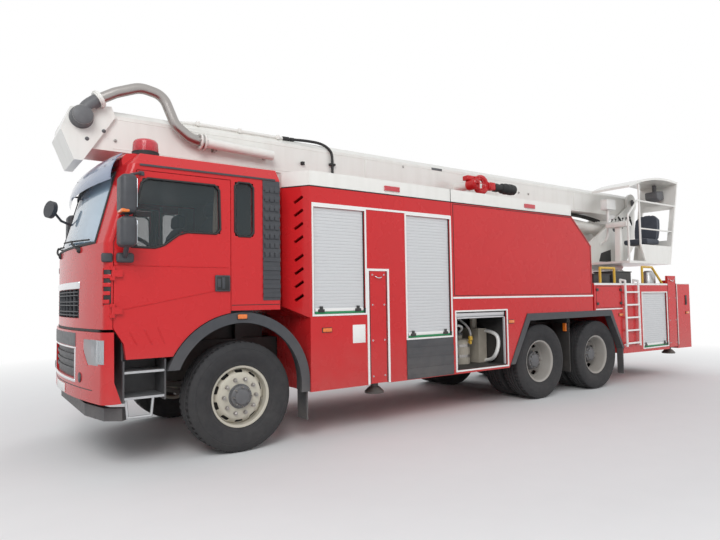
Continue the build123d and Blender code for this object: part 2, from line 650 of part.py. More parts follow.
def sun_visor():
    """Smoked visor over the windscreen on three brackets."""
    strip = cab_plan(0) - cab_plan(GLASS)
    low, top = 2470.0, 2795.0
    face = (Pos(-50, 0, low) * strip).faces()[0]
    blade = Part() + Solid.extrude(face, Vector(-230, 0, top - low))
    blade &= block(900, 1600, -1080, 1080, low, top)
    bracket = side_plate([(1190, 2590), (1300, 2535), (1130, top - 15), (1090, top - 15)], -10, 10)
    brackets = [Pos(-shift, y, 0) * bracket for y, shift in ((0, 0), (900, 82), (-900, 82))]
    visor = union(blade, *brackets) - cab_form(0, CAB_LOW, CAB_ROOF)
    save("sun_visor", visor)


def seat(x, y, z):
    """A seat on a pedestal, with a cushion, a leaning back and a headrest."""
    base = block(x - 180, x + 180, y - 160, y + 160, z, z + 260)
    cushion = block(x - 250, x + 260, y - 250, y + 250, z + 260, z + 390)
    back = side_plate([(x - 250, z + 300), (x - 130, z + 300), (x - 230, z + 930), (x - 330, z + 930)], y - 240, y + 240)
    head = side_plate([(x - 330, z + 930), (x - 240, z + 930), (x - 260, z + 1100), (x - 330, z + 1100)], y - 140, y + 140)
    return union(base, cushion, back, head)


def cab_interior():
    """Two seats, the dashboard and the steering wheel on its column."""
    dash = side_plate([(1150, CAB_FLOOR_TOP), (1200, 1900), (1150, 1940), (830, 1900), (800, 1750), (950, 1650),
                       (980, CAB_FLOOR_TOP)], -1090, 1090)
    column = rod((900, 600, 1750), (720, 600, 1960), 35)
    ring = Plane(origin=(720, 600, 1960), z_dir=(-180, 0, 210)) * Torus(220, 20)
    spokes = Plane(origin=(720, 600, 1960), z_dir=(-180, 0, 210)) * Box(60, 440, 16)
    seats = [seat(350, y, CAB_FLOOR_TOP) for y in (600, -600)]
    save("cab_interior", dash, union(column, ring, spokes) - dash, *seats)


def warning_lamps():
    """Red beacons on the cab roof and red lamps on the roof band."""
    dome_z = CAB_ROOF + 55
    dome = rod((860, 950, dome_z), (860, 950, dome_z + 115), 112)
    dome = fillet(dome.edges().group_by(Axis.Z)[-1], 35)
    band_y = BODY_HALF
    lamps = [block(x - 110, x + 110, band_y, band_y + 15, 2720, 2775) for x in (-1850, -4350)]
    save("warning_lamps", both(union(dome)), both(union(*lamps)))


def front_arch():
    """Left front mudguard: a flared lip, a skin over the tyre, a hanger block and a flap."""
    y_out = CAB_HALF + 15
    y_lip = CAB_HALF - 25
    lip = cross_rod(ARCH_X, ARCH_Z, y_lip, y_out, ARCH_RADIUS)
    lip -= cross_rod(ARCH_X, ARCH_Z, y_lip - 1, y_out + 1, ARCH_RADIUS - ARCH_LIP)
    skin = cross_rod(ARCH_X, ARCH_Z, 1000, y_lip, ARCH_RADIUS)
    skin -= cross_rod(ARCH_X, ARCH_Z, 999, y_lip + 1, ARCH_RADIUS - ARCH_SKIN)
    guard = union(lip, skin)
    guard -= block(ARCH_X, 900, 900, 1300, -300, 850)
    guard -= block(-900, ARCH_X, 900, 1300, -300, 518)
    hanger = block(ARCH_X - 150, ARCH_X + 150, 1010, 1150, ARCH_Z + ARCH_RADIUS - 30, CAB_FLOOR_LOW)
    rear_x = ARCH_X - ARCH_RADIUS
    flap = block(rear_x + 8, rear_x + 24, 1000, y_lip, 220, 560)
    return union(guard, hanger, flap)


def arch_trims():
    """Dark arch mouldings, mud flaps and the ribbed panels below the second lockers."""
    y0, y1 = BODY_HALF - 100, BODY_HALF + 12
    low = BODY_LOW + 40
    outer = [(BOGIE_X + 1442, low), (BOGIE_X + 1069, ARCH_TOP), (BOGIE_X - 1023, ARCH_TOP), (BOGIE_X - 1361, 599)]
    inner = [(BOGIE_X - 1312, 599), (BOGIE_X - 985, 1140), (BOGIE_X + 1015, 1130), (BOGIE_X + 1355, low)]
    rear = side_plate(outer + inner, y0, y1)
    flap_x = BOGIE_X - 1316
    flap = block(flap_x - 20, flap_x, y0, y1 - 10, 190, 620)
    front_x, rear_x, low_z, _ = LOCKER_2
    panel = side_plate([(front_x, BODY_LOW + 7), (rear_x, BODY_LOW + 7), (rear_x, low_z), (front_x, low_z)],
                       BODY_HALF, BODY_HALF + 5)
    ribs = [block(rear_x, front_x, BODY_HALF + 5, BODY_HALF + 12, z, z + 70)
            for z in (BODY_LOW + 60, BODY_LOW + 180, BODY_LOW + 300)]
    save("arch_trims", both(front_arch()), both(union(rear, flap)), both(union(panel, *ribs)))


def opening(locker, y0, y1):
    """The clear opening inside a shutter frame."""
    front_x, rear_x, low, top = locker
    edge = FRAME_WIDTH
    return block(rear_x + edge, front_x - edge, y0, y1, low + edge, top - edge)


def locker_opening(locker):
    """Shutter openings on both sides."""
    return both(opening(locker, BODY_HALF - BODY_WALL - 20, BODY_HALF + 50))


def shutter(locker):
    """A roller shutter of round-nosed slats that fills its opening."""
    front_x, rear_x, low, top = locker
    low, top = low + FRAME_WIDTH, top - FRAME_WIDTH
    count = int((top - low) // SLAT)
    pitch = (top - low) / count
    face = SHUTTER_FACE
    nose = [point for number in range(count)
            for point in ((face - 8, low + number * pitch), (face, low + number * pitch + 8),
                          (face, low + (number + 1) * pitch - 8))]
    back = face - SHUTTER_DEPTH
    return cross_plate(nose + [(face - 8, top), (back, top), (back, low)], rear_x + FRAME_WIDTH, front_x - FRAME_WIDTH)


def frame_ring(locker):
    """White frame round a shutter."""
    front_x, rear_x, low, top = locker
    y0, y1 = BODY_HALF, BODY_HALF + FRAME_PROUD
    return block(rear_x, front_x, y0, y1, low, top) - opening(locker, y0 - 1, y1 + 1)


def body_plan():
    """Plan of the front body with its chamfered front corners."""
    rear = BODY_SPLIT + SPLIT_GAP / 2
    half = BODY_HALF
    return outline([(BODY_FRONT, -BODY_CHAMFER_Y), (BODY_EDGE, -half), (rear, -half), (rear, half),
                    (BODY_EDGE, half), (BODY_FRONT, BODY_CHAMFER_Y)])


def outrigger_slot(x, width, top):
    """The slot in a side wall and floor that a leg slides out through."""
    return both(block(x - width / 2, x + width / 2, LEG_IN - 20, BODY_HALF + 50, CABINET_LOW - 50, top))


def gill_slots():
    """Eight slanted air slots in the left front chamfer."""
    run_x, run_y = BODY_EDGE - BODY_FRONT, BODY_HALF - BODY_CHAMFER_Y
    turn = math.degrees(math.atan2(run_y, run_x))
    mid_x, mid_y = (BODY_EDGE + BODY_FRONT) / 2 - 20, (BODY_HALF + BODY_CHAMFER_Y) / 2 + 29
    heights = [z + 75 * number * 1.88 for z in (1490, 2110) for number in range(4)]
    slot = Rot(0, 0, turn) * (Rot(0, -32, 0) * Box(120, 240, 32))
    return union(*[Pos(mid_x, mid_y, z) * slot for z in heights])


def front_locker_body():
    """Front body: lockers over and beside the frame rails, with shutter openings and air slots."""
    wall = BODY_WALL
    rear = BODY_SPLIT + SPLIT_GAP / 2
    profile = [(BODY_FRONT, BODY_TOP), (rear, BODY_TOP), (rear, BODY_LOW), (BODY_EDGE, BODY_LOW), (BODY_EDGE, 1280),
               (BODY_FRONT, 1400)]
    inside = [(BODY_FRONT - wall, BODY_TOP - wall), (rear + wall, BODY_TOP - wall), (rear + wall, RAIL_TOP + 40),
              (BODY_EDGE - wall, RAIL_TOP + 40), (BODY_EDGE - wall, 1310), (BODY_FRONT - wall, 1430)]
    plan = body_plan()
    body = plan_solid(plan, BODY_LOW, BODY_TOP) & side_plate(profile, -BODY_HALF, BODY_HALF)
    room = plan_solid(offset(plan, amount=-wall), BODY_LOW, BODY_TOP)
    body -= room & side_plate(inside, -BODY_HALF, BODY_HALF)
    body -= both(block(rear + wall, BODY_EDGE - wall, TUNNEL_HALF + wall, BODY_HALF - wall, BODY_LOW + wall, RAIL_TOP))
    body -= block(rear - 10, BODY_EDGE + 10, -TUNNEL_HALF, TUNNEL_HALF, BODY_LOW - 10, RAIL_TOP)
    body -= locker_opening(LOCKER_1)
    body -= locker_opening(LOCKER_2)
    body -= outrigger_slot(OUTRIGGER_FRONT_X, 262, COVER_TOP + 8)
    x = OUTRIGGER_FRONT_X
    body -= block(x - 145, x + 145, -BODY_HALF - 10, BODY_HALF + 10, BODY_LOW - 10, BEAM_BOTTOM + 165)
    body -= both(gill_slots())
    save("front_locker_body", body)


def tank_body():
    """Tank body with a slanted rear shoulder, a filler hole, pump bays and the rear wheel arch below."""
    wall = BODY_WALL
    front = BODY_SPLIT - SPLIT_GAP / 2
    profile = [(front, BODY_LOW), (front, BODY_TOP), (TANK_SHOULDER, BODY_TOP), (TANK_REAR, TANK_SLANT_Z),
               (TANK_REAR, ARCH_TOP), (BOGIE_X + 1069, ARCH_TOP), (BOGIE_X + 1466, BODY_LOW)]
    inside = [(front - wall, BAY_TOP + 47), (front - wall, BODY_TOP - wall), (TANK_SHOULDER + 23, BODY_TOP - wall),
              (TANK_REAR + wall, TANK_SLANT_Z - 23), (TANK_REAR + wall, BAY_TOP + 47)]
    half = BODY_HALF
    body = side_plate(profile, -half, half) - side_plate(inside, wall - half, half - wall)
    body -= rod((-4300, 500, BODY_TOP - wall - 10), (-4300, 500, BODY_TOP + 10), 230)
    body -= block(TANK_REAR, front + 10, -TUNNEL_HALF, TUNNEL_HALF, BODY_LOW - 10, RAIL_TOP)
    body -= both(block(BAY_REAR, BAY_FRONT, TUNNEL_HALF + wall, half + 10, BAY_LOW, BAY_TOP))
    body -= block(BAY_REAR, BAY_FRONT, -half - 10, half + 10, RAIL_TOP + wall, BAY_TOP)
    zone = block(BOGIE_X + 1069, front + 10, 0, half + 10, BODY_LOW - 10, BAY_TOP)
    bay = body & zone
    save("tank_body", body - both(zone), bay, flip(bay))


def roof_band():
    """White band round the roof with a manhole lid and the cradle that the boom rests on."""
    half = BODY_HALF
    outer = outline([(BODY_FRONT, -BODY_CHAMFER_Y), (BODY_EDGE, -half), (TANK_SHOULDER, -half), (TANK_SHOULDER, half),
                     (BODY_EDGE, half), (BODY_FRONT, BODY_CHAMFER_Y)])
    band = plan_solid(outer - offset(outer, amount=-BAND_WIDTH), BODY_TOP, BAND_TOP)
    lid = rod((-4300, 500, BODY_TOP), (-4300, 500, BODY_TOP + 40), 270)
    foot = block(-1050, -750, -260, 260, BODY_TOP, BODY_TOP + 30)
    post = block(-960, -840, -180, 180, BODY_TOP + 30, BOOM_LOW - FIT - 40)
    saddle = block(-1000, -800, -230, 230, BOOM_LOW - FIT - 40, BOOM_LOW - FIT)
    save("roof_band", band, lid, union(foot, post, saddle))


def roller_shutters():
    """Three roller shutters on each side."""
    save("roller_shutters", *[both(shutter(locker)) for locker in (LOCKER_1, LOCKER_2, LOCKER_3)])


def ladder():
    """Left ladder up to the deck: two rails with bent tops and five rungs."""
    y = BODY_HALF + 45
    rails = []
    for x in (BOGIE_X - 1390, BOGIE_X - 1790):
        rails.append(rod((x, y, 620), (x, y, DECK + 40), 18))
        rails.append(Pos(x, y, DECK + 40) * Sphere(18))
        rails.append(rod((x, y, DECK + 40), (x, BODY_HALF - 40, DECK + 60), 18))
        rails.append(rod((x, BODY_HALF - 40, DECK), (x, BODY_HALF - 40, DECK + 60), 18))
        rails.append(Pos(x, BODY_HALF - 40, DECK + 60) * Sphere(18))
        rails.append(block(x - 12, x + 12, BODY_HALF, y, 640, 664))
    rungs = [block(BOGIE_X - 1790, BOGIE_X - 1390, y - 14, y + 14, z, z + 26) for z in range(660, 1600, 210)]
    return union(*rails, *rungs)


def body_trim():
    """White frames, header strips, the line under the tank panel, pump bay frames and the ladder."""
    y0, y1 = BODY_HALF, BODY_HALF + FRAME_PROUD
    frames = [frame_ring(locker) for locker in (LOCKER_1, LOCKER_2, LOCKER_3)]
    header = block(LOCKER_2[1], LOCKER_1[0], y0, y1, LOCKER_1[3], LOCKER_1[3] + 24)
    x = OUTRIGGER_FRONT_X
    slot = block(x - 157, x + 157, y0, y1, BODY_LOW + 5, COVER_TOP + 9)
    slot -= block(x - 131, x + 131, y0 - 1, y1 + 1, BODY_LOW, COVER_TOP - 17)
    bay = block(BAY_REAR - 20, BAY_FRONT + 20, y0, y1, BAY_LOW - 20, BAY_TOP + 20)
    bay -= block(BAY_REAR, BAY_FRONT, y0 - 1, y1 + 1, BAY_LOW, BAY_TOP)
    line = block(TANK_REAR, BODY_SPLIT - SPLIT_GAP, y0, y1, 1452, 1476)
    rail = block(-8140, CABINET_FRONT, y0, y1, DECK - 30, DECK)
    pieces = [both(union(*frames[:2], header, slot)), both(frames[2]), both(bay), both(line), both(rail)]
    save("body_trim", *pieces, ladder())


def pump_fittings():
    """Pump casing across the bay with two receivers on each side."""
    case = block(BAY_REAR + 300, BAY_FRONT - 300, -TUNNEL_HALF + 40, TUNNEL_HALF - 40, RAIL_TOP + BODY_WALL, BAY_TOP - 60)
    tanks = []
    for x in (BAY_FRONT - 190, BAY_FRONT - 530):
        shell = rod((x, 760, BAY_LOW), (x, 760, BAY_LOW + 350), 145)
        shell = fillet(shell.edges().group_by(Axis.Z)[-1], 60)
        tanks.append(union(shell, rod((x, 760, BAY_LOW + 340), (x, 760, BAY_LOW + 400), 45)))
    pump = union(block(BAY_REAR + 20, BAY_REAR + 180, 560, 900, BAY_LOW, BAY_LOW + 480),
                 rod((BAY_REAR + 100, 730, BAY_LOW + 480), (BAY_REAR + 100, 730, BAY_TOP), 50))
    save("pump_fittings", case, *[both(tank) for tank in tanks], both(pump))


def rear_cabinet():
    """Rear cabinet under the deck, open in the middle for the frame and the turntable's drum."""
    wall = BODY_WALL
    half = BODY_HALF
    tail = -TAIL_REACH
    profile = [(CABINET_FRONT, ARCH_TOP), (CABINET_FRONT, DECK), (tail, DECK), (tail, CABINET_LOW),
               (BOGIE_X - 1340, BODY_LOW), (BOGIE_X - 1361, 599), (BOGIE_X - 1023, ARCH_TOP)]
    inside = [(CABINET_FRONT - wall, ARCH_TOP + wall), (CABINET_FRONT - wall, DECK - wall), (tail + wall, DECK - wall),
              (tail + wall, CABINET_LOW + 60), (BOGIE_X - 1400, BODY_LOW + wall), (BOGIE_X - 1415, 620),
              (BOGIE_X - 1055, ARCH_TOP + wall)]
    body = side_plate(profile, -half, half) - side_plate(inside, wall - half, half - wall)
    body -= block(tail + wall, BOGIE_X - 1250, -600, 600, CABINET_LOW - 20, BODY_LOW + 120)
    body -= block(BOGIE_X - 1450, BOGIE_X - 1000, -TUNNEL_HALF, TUNNEL_HALF, 400, RAIL_TOP)
    body -= rod((SLEW_X, 0, DECK - wall - 10), (SLEW_X, 0, DECK + 10), DRUM_RADIUS + 40)
    shelf = block(SLEW_X + 600, BOGIE_X - 1130, -TUNNEL_HALF, TUNNEL_HALF, RAIL_TOP, RAIL_TOP + 50)
    body = union(body, shelf)
    body -= locker_opening(LOCKER_3)
    body -= outrigger_slot(OUTRIGGER_REAR_X, 310, DECK + 40)
    x = OUTRIGGER_REAR_X
    body -= block(x - 155, x + 155, -half - 10, half + 10, CABINET_LOW - 20, BEAM_BOTTOM + 20)
    save("rear_cabinet", body)


def hoop(points, radius):
    """A bent bar with ball corners."""
    bars = [rod(a, b, radius) for a, b in zip(points, points[1:])]
    return union(*bars, *[Pos(*point) * Sphere(radius) for point in points[1:-1]])


def handrails():
    """Yellow hoops on the deck and a rail beside each tank shoulder."""
    y = BODY_HALF - 70
    first = hoop([(-6160, y, DECK), (-6160, y, 1910), (-6570, y, 1910), (-6570, y, DECK)], 20)
    second = hoop([(-7440, y, DECK), (-7440, y, 1950), (-7770, y, 1950), (-8110, y, DECK)], 20)
    second -= block(-8300, -7300, y - 60, y + 60, DECK - 60, DECK)
    slope = (TANK_SLANT_Z - BODY_TOP) / (TANK_REAR - TANK_SHOULDER)
    ends = [(TANK_SHOULDER - 60, y), (TANK_SHOULDER - 420, y)]
    bar = []
    for x, y in ends:
        z = BODY_TOP + slope * (x - TANK_SHOULDER)
        bar.append(rod((x, y, z - 8), (x, y, z + 70), 14))
    top = [(x, y, BODY_TOP + slope * (x - TANK_SHOULDER) + 70) for x, y in ends]
    rail = union(*bar, rod(*top, 14), *[Pos(*point) * Sphere(14) for point in top])
    shoulder = side_plate([(TANK_SHOULDER, BODY_TOP), (TANK_REAR, TANK_SLANT_Z), (TANK_SHOULDER, TANK_SLANT_Z)], 0, BODY_HALF)
    save("handrails", both(first), both(second), both(rail - shoulder))


def channel_pair(x):
    """A pair of open-ended channels side by side across the frame, with hangers to the rails."""
    half = BEAM_PITCH / 2 + BEAM_SIZE / 2 + FIT + CHANNEL_WALL
    low = BEAM_BOTTOM - FIT - CHANNEL_WALL
    top = BEAM_BOTTOM + BEAM_HEIGHT + FIT + CHANNEL_WALL
    casing = block(x - half, x + half, -CHANNEL_HALF, CHANNEL_HALF, low, top)
    for shift in (BEAM_PITCH / 2, -BEAM_PITCH / 2):
        reach = BEAM_SIZE / 2 + FIT
        casing -= block(x + shift - reach, x + shift + reach, -CHANNEL_HALF - 1, CHANNEL_HALF + 1,
                        BEAM_BOTTOM - FIT, BEAM_BOTTOM + BEAM_HEIGHT + FIT)
    hanger = block(x - half, x + half, RAIL_HALF - RAIL_FLANGE, RAIL_HALF, top, RAIL_LOW)
    return union(casing, both(hanger))


def boom_subframe():
    """Pedestal and drum under the turntable, rails under the tank, and the outrigger channels."""
    pedestal = block(SLEW_X - 480, SLEW_X + 480, -RAIL_HALF - 10, RAIL_HALF + 10, RAIL_TOP, 1200)
    drum = rod((SLEW_X, 0, 1200), (SLEW_X, 0, DRUM_TOP), DRUM_RADIUS)
    drum -= rod((SLEW_X, 0, 1250), (SLEW_X, 0, DRUM_TOP + 5), DRUM_RADIUS - 60)
    inner = RAIL_HALF - RAIL_FLANGE
    bearer = block(TANK_REAR, BOGIE_X + 1060, inner, RAIL_HALF, RAIL_TOP, ARCH_TOP)
    save("boom_subframe", union(pedestal, drum), both(bearer), channel_pair(OUTRIGGER_FRONT_X), channel_pair(OUTRIGGER_REAR_X))


def outriggers():
    """Four sliding beams with their legs and covers, and the jacks inside the legs."""
    for place, x, width in (("front", OUTRIGGER_FRONT_X, 245), ("rear", OUTRIGGER_REAR_X, 296)):
        for name, side in SIDES:
            beam_x = x + side * BEAM_PITCH / 2
            beam = block(beam_x - BEAM_SIZE / 2, beam_x + BEAM_SIZE / 2, -BEAM_REACH, LEG_IN + 20,
                         BEAM_BOTTOM, BEAM_BOTTOM + BEAM_HEIGHT)
            leg = block(x - LEG_WIDTH / 2, x + LEG_WIDTH / 2, LEG_IN, LEG_OUT, LEG_LOW, LEG_TOP)
            cover = block(x - width / 2, x + width / 2, LEG_OUT, BODY_HALF, BODY_LOW + 10, COVER_TOP)
            leg_y = (LEG_IN + LEG_OUT) / 2
            bore = rod((x, leg_y, LEG_LOW - 5), (x, leg_y, LEG_TOP - 60), JACK_RADIUS + FIT)
            save(f"outrigger_{place}_{name}", sided(union(beam, leg, cover) - bore, side))
            stem = rod((x, leg_y, FOOT_TOP - 5), (x, leg_y, LEG_TOP - 170), JACK_RADIUS)
            cone = Cone(FOOT_RADIUS, JACK_RADIUS + 15, FOOT_TOP - FOOT_LOW - 20,
                        align=(Align.CENTER, Align.CENTER, Align.MIN))
            plate = rod((x, leg_y, FOOT_LOW), (x, leg_y, FOOT_LOW + 20), FOOT_RADIUS)
            foot = union(plate, Pos(x, leg_y, FOOT_LOW + 20) * cone)
            save(f"jack_{place}_{name}", sided(union(stem, foot), side))


def turntable_mast():
    """Turntable disc with two mast plates, the boom's pivot pin and the lift cylinder's base pin."""
    disc = rod((SLEW_X, 0, DRUM_TOP + FIT), (SLEW_X, 0, TURNTABLE_TOP), TURNTABLE_RADIUS)
    reach = 180.0
    tail, waist = (-8270.0, TURNTABLE_TOP), (LIFT_X - 60, 2450.0)
    mast = outline([(-6950, TURNTABLE_TOP), (-6950, 2150), (-7150, 2370), (LIFT_X + 110, LIFT_Z - 60),
                    (LIFT_X - 120, LIFT_Z), waist, tail])
    plate = side_solid(mast, MAST_IN, MAST_IN + MAST_PLATE)
    boss = cross_rod(LIFT_X, LIFT_Z, MAST_IN, MAST_IN + MAST_PLATE, reach)
    plates = both(union(plate, boss))
    lift_pin = cross_rod(LIFT_X, LIFT_Z, -MAST_IN - MAST_PLATE - 20, MAST_IN + MAST_PLATE + 20, LIFT_PIN)
    base_pin = cross_rod(BARREL_X, BARREL_Z, -MAST_IN - 5, MAST_IN + 5, BARREL_PIN)
    front = block(-6990, -6950, -MAST_IN, MAST_IN, TURNTABLE_TOP, 2150)
    rise = 390.0
    lean = rise * (tail[0] - waist[0]) / (waist[1] - tail[1])
    back = side_plate([tail, (tail[0] - lean, tail[1] + rise), (tail[0] - lean + 60, tail[1] + rise),
                       (tail[0] + 60, tail[1])], -MAST_IN, MAST_IN)
    save("turntable_mast", union(disc, plates, lift_pin, base_pin, front, back))


def station():
    """Operator station: floor, leaning back, curved canopy, side panel, posts and grab rails."""
    y0, y1 = STATION_IN, STATION_OUT
    floor_top = STATION_FLOOR + 40
    mast_out = MAST_IN + MAST_PLATE
    floor = block(-8560, -7150, mast_out, y1, STATION_FLOOR, floor_top)
    back = side_plate([(-8560, STATION_FLOOR), (-8520, STATION_FLOOR), (-8807, 3186), (-8847, 3186)], y0, y1)
    window = block(-8900, -8500, y0 + 90, y1 - 90, 2480, 3080)
    top_edge = ThreePointArc((-7216, 3373), (-8117, 3600), (-8944, 3600))
    low_edge = ThreePointArc((-8904, 3560), (-8117, 3560), (-7216, 3333))
    canopy_face = make_face(Curve() + [top_edge, Polyline((-8944, 3600), (-8847, 3186), (-8807, 3186), (-8904, 3560)),
                                       low_edge, Polyline((-7216, 3333), (-7216, 3373))])
    canopy = side_solid(canopy_face, y0, y1)
    panel = side_plate([(-7533, 2356), (-8600, 2356), (-8525, floor_top), (-7680, floor_top)], y1 - 25, y1)
    posts = [hoop([(-7180, y1 - 20, floor_top), (-7180, y1 - 20, 2850), (-7500, y1 - 20, 3130), (-8800, y1 - 20, 3130)], 17),
             hoop([(-7560, y1 - 20, 2340), (-7560, y1 - 20, 3430)], 17),
             rod((-7560, y1 - 20, 2640), (-8650, y1 - 20, 2640), 14)]
    shell = union(floor, back - window, canopy, panel, *posts)
    save("station_shell", shell)
    stool = union(block(-8330, -8130, 640, 920, floor_top, floor_top + 330),
                  block(-8420, -7990, 560, 1000, floor_top + 330, floor_top + 430),
                  side_plate([(-8420, 2420), (-8330, 2420), (-8420, 2950), (-8500, 2950)], 570, 990))
    desk = union(block(-7560, -7400, 600, 900, floor_top, 2700),
                 side_plate([(-7620, 2700), (-7330, 2700), (-7330, 2830), (-7480, 2860)], 520, 980))
    save("station_seat", stool, desk)


def boom_section(inset):
    """Boom tube outline seen from the front, with bevelled top edges."""
    half, low, top = BOOM_HALF - inset, BOOM_LOW + inset, BOOM_TOP - inset
    return [(-half, low), (half, low), (half, top - 60), (half - 60, top), (60 - half, top), (-half, top - 60)]


def boom():
    """Lower boom: welded tube, pivot hub, cylinder lugs, head cheeks, jib pin and monitor bracket."""
    tube = cross_plate(boom_section(0), BOOM_TAIL, BOOM_TIP)
    head = [(ELBOW_X + 99, ELBOW_Z + 99), (NOSE_REACH, ELBOW_Z - 135), (ELBOW_X + 60, 2880), (ELBOW_X - 20, 2880),
            (ELBOW_X - 320, ELBOW_Z + 55), (ELBOW_X - 280, ELBOW_Z + 160)]
    hollow = [(ELBOW_X + 75, ELBOW_Z + 70), (NOSE_REACH - 35, ELBOW_Z - 135), (ELBOW_X + 45, 2905),
              (ELBOW_X - 10, 2905), (ELBOW_X - 285, ELBOW_Z + 50), (ELBOW_X - 260, ELBOW_Z + 120)]
    cheeks = side_plate(head, -HEAD_HALF, HEAD_HALF)
    room = side_plate(hollow, 25 - HEAD_HALF, HEAD_HALF - 25)
    bore = cross_plate(boom_section(BOOM_WALL), BOOM_TAIL - 10, BOOM_TIP + 1)
    nose = cheeks - bore - room
    shape = tube - cheeks - bore
    hub = cross_rod(LIFT_X, LIFT_Z, -BOOM_HALF, BOOM_HALF, LIFT_PIN + 50)
    lug = side_plate([(ROD_EYE_X - 190, BOOM_LOW), (ROD_EYE_X + 190, BOOM_LOW), (ROD_EYE_X + 70, ROD_EYE_Z - 70),
                      (ROD_EYE_X - 70, ROD_EYE_Z - 70)], 76, 116)
    jib_pin = cross_rod(ELBOW_X, ELBOW_Z, -JIB_IN - JIB_WIDTH, -HEAD_HALF, JIB_PIN)
    inlet = cross_rod(MONITOR_X, MONITOR_Z, BOOM_HALF, MONITOR_Y - 80, MONITOR_PIN + 25)
    stub = cross_rod(MONITOR_X, MONITOR_Z, MONITOR_Y - 80, MONITOR_Y + 60, MONITOR_PIN)
    shape = union(shape, hub, inlet, stub)
    shape -= cross_rod(LIFT_X, LIFT_Z, -BOOM_HALF - 10, BOOM_HALF + 10, LIFT_PIN + FIT)
    save("boom", shape, union(nose, jib_pin), both(lug))


def boom_pipe():
    """Water pipe on the left of the boom: swivel elbow at the head, goose-neck and a straight run."""
    y = PIPE_Y
    points = [(ELBOW_X, y, ELBOW_Z), (1194, y, 3477), (1007, y, 3595), (760, y, 3700), (528, y, 3658), (400, y, 3366),
              (237, y, 3250), (103, y, 3225), (-750, y, 3185)]
    pipe = pipe_run(points, [200, 300, 250, 180, 200, 200, 300], PIPE_RADIUS)
    swivel = cross_rod(ELBOW_X, ELBOW_Z, HEAD_HALF, PIPE_Y + PIPE_RADIUS, 95)
    flange = rod((115, y, 3227), (90, y, 3224), PIPE_RADIUS + 26)
    clips = [block(x - 20, x + 20, BOOM_HALF, y - 30, 3150, 3230) for x in (-60, -690)]
    save("boom_pipe", union(pipe, swivel, flange, *clips))


def lift_cylinder():
    """Boom lift cylinder: barrel on its base pin and a rod whose eye lies between the boom's lugs."""
    run = Vector(ROD_EYE_X - BARREL_X, 0, ROD_EYE_Z - BARREL_Z)
    closed = run.length
    unit = run.normalized()
    base = Vector(BARREL_X, 0, BARREL_Z)

    def along(distance):
        return tuple(base + unit * distance)

    barrel = rod(along(-60), along(BARREL_LENGTH), BARREL_RADIUS)
    eye = cross_rod(BARREL_X, BARREL_Z, -BARREL_RADIUS, BARREL_RADIUS, BARREL_PIN + 65)
    barrel = union(barrel, eye) - cross_rod(BARREL_X, BARREL_Z, -300, 300, BARREL_PIN + FIT)
    barrel -= rod(along(BARREL_PIN + 80), along(BARREL_LENGTH + 10), ROD_RADIUS + FIT)
    save("lift_barrel", barrel)
    stem = rod(along(BARREL_PIN + 110), along(closed - 30), ROD_RADIUS)
    rod_eye = cross_rod(ROD_EYE_X, ROD_EYE_Z, -70, 70, ROD_RADIUS + 10)
    save("lift_rod", union(stem, rod_eye) - cross_rod(ROD_EYE_X, ROD_EYE_Z, -80, 80, 40))


def jib_arm():
    """Upper arm, folded back along the right of the boom, with its nozzle at the free end."""
    y0, y1 = -JIB_IN - JIB_WIDTH, -JIB_IN
    arm = side_plate([(ELBOW_X + 60, ELBOW_Z - 90), (ELBOW_X + 60, ELBOW_Z + 90), (JIB_TIP, ELBOW_Z + 65),
                      (JIB_TIP, ELBOW_Z - 65)], y0, y1)
    room = side_plate([(ELBOW_X - 140, ELBOW_Z - 76), (ELBOW_X - 140, ELBOW_Z + 76), (JIB_TIP - 10, ELBOW_Z + 53),
                       (JIB_TIP - 10, ELBOW_Z - 53)], y0 + 12, y1 - 12)
    boss = cross_rod(ELBOW_X, ELBOW_Z, y0, y1, 130)
    middle = (y0 + y1) / 2
    spout = [(JIB_TIP + 300, middle, ELBOW_Z), (JIB_TIP - 520, middle, ELBOW_Z), (JIB_TIP - 800, middle, ELBOW_Z)]
    barrel = rod(spout[0], spout[1], 42)
    tip = rod(spout[1], spout[2], 62)
    carrier = block(JIB_TIP + 120, JIB_TIP + 160, middle - 40, middle + 40, ELBOW_Z - 70, ELBOW_Z + 70)
    carrier &= side_plate([(ELBOW_X + 60, ELBOW_Z - 90), (ELBOW_X + 60, ELBOW_Z + 90), (JIB_TIP, ELBOW_Z + 65),
                           (JIB_TIP, ELBOW_Z - 65)], y0, y1)
    whole = union(arm - room, boss, barrel, tip, carrier)
    save("jib_arm", whole - cross_rod(ELBOW_X, ELBOW_Z, y0 - 10, y1 + 10, JIB_PIN + FIT))


def monitor():
    """Water monitor on its inlet stub: hub, ring bend, barrel and nozzle pointing to the rear."""
    hub = cross_rod(MONITOR_X, MONITOR_Z, MONITOR_Y - 80 + FIT, MONITOR_Y + 70, MONITOR_PIN + 35)
    ring = Pos(MONITOR_X - 170, MONITOR_Y, MONITOR_Z + 10) * Rot(90, 0, 0) * Torus(105, 45)
    barrel = rod((MONITOR_X - 250, MONITOR_Y, MONITOR_Z), (MONITOR_X - 640, MONITOR_Y, MONITOR_Z), 52)
    nozzle = rod((MONITOR_X - 640, MONITOR_Y, MONITOR_Z), (MONITOR_X - 900, MONITOR_Y, MONITOR_Z), 75)
    whole = union(hub, ring, barrel, nozzle)
    bore = cross_rod(MONITOR_X, MONITOR_Z, MONITOR_Y - 90, MONITOR_Y + 60 + FIT, MONITOR_PIN + FIT)
    save("monitor", whole - bore)


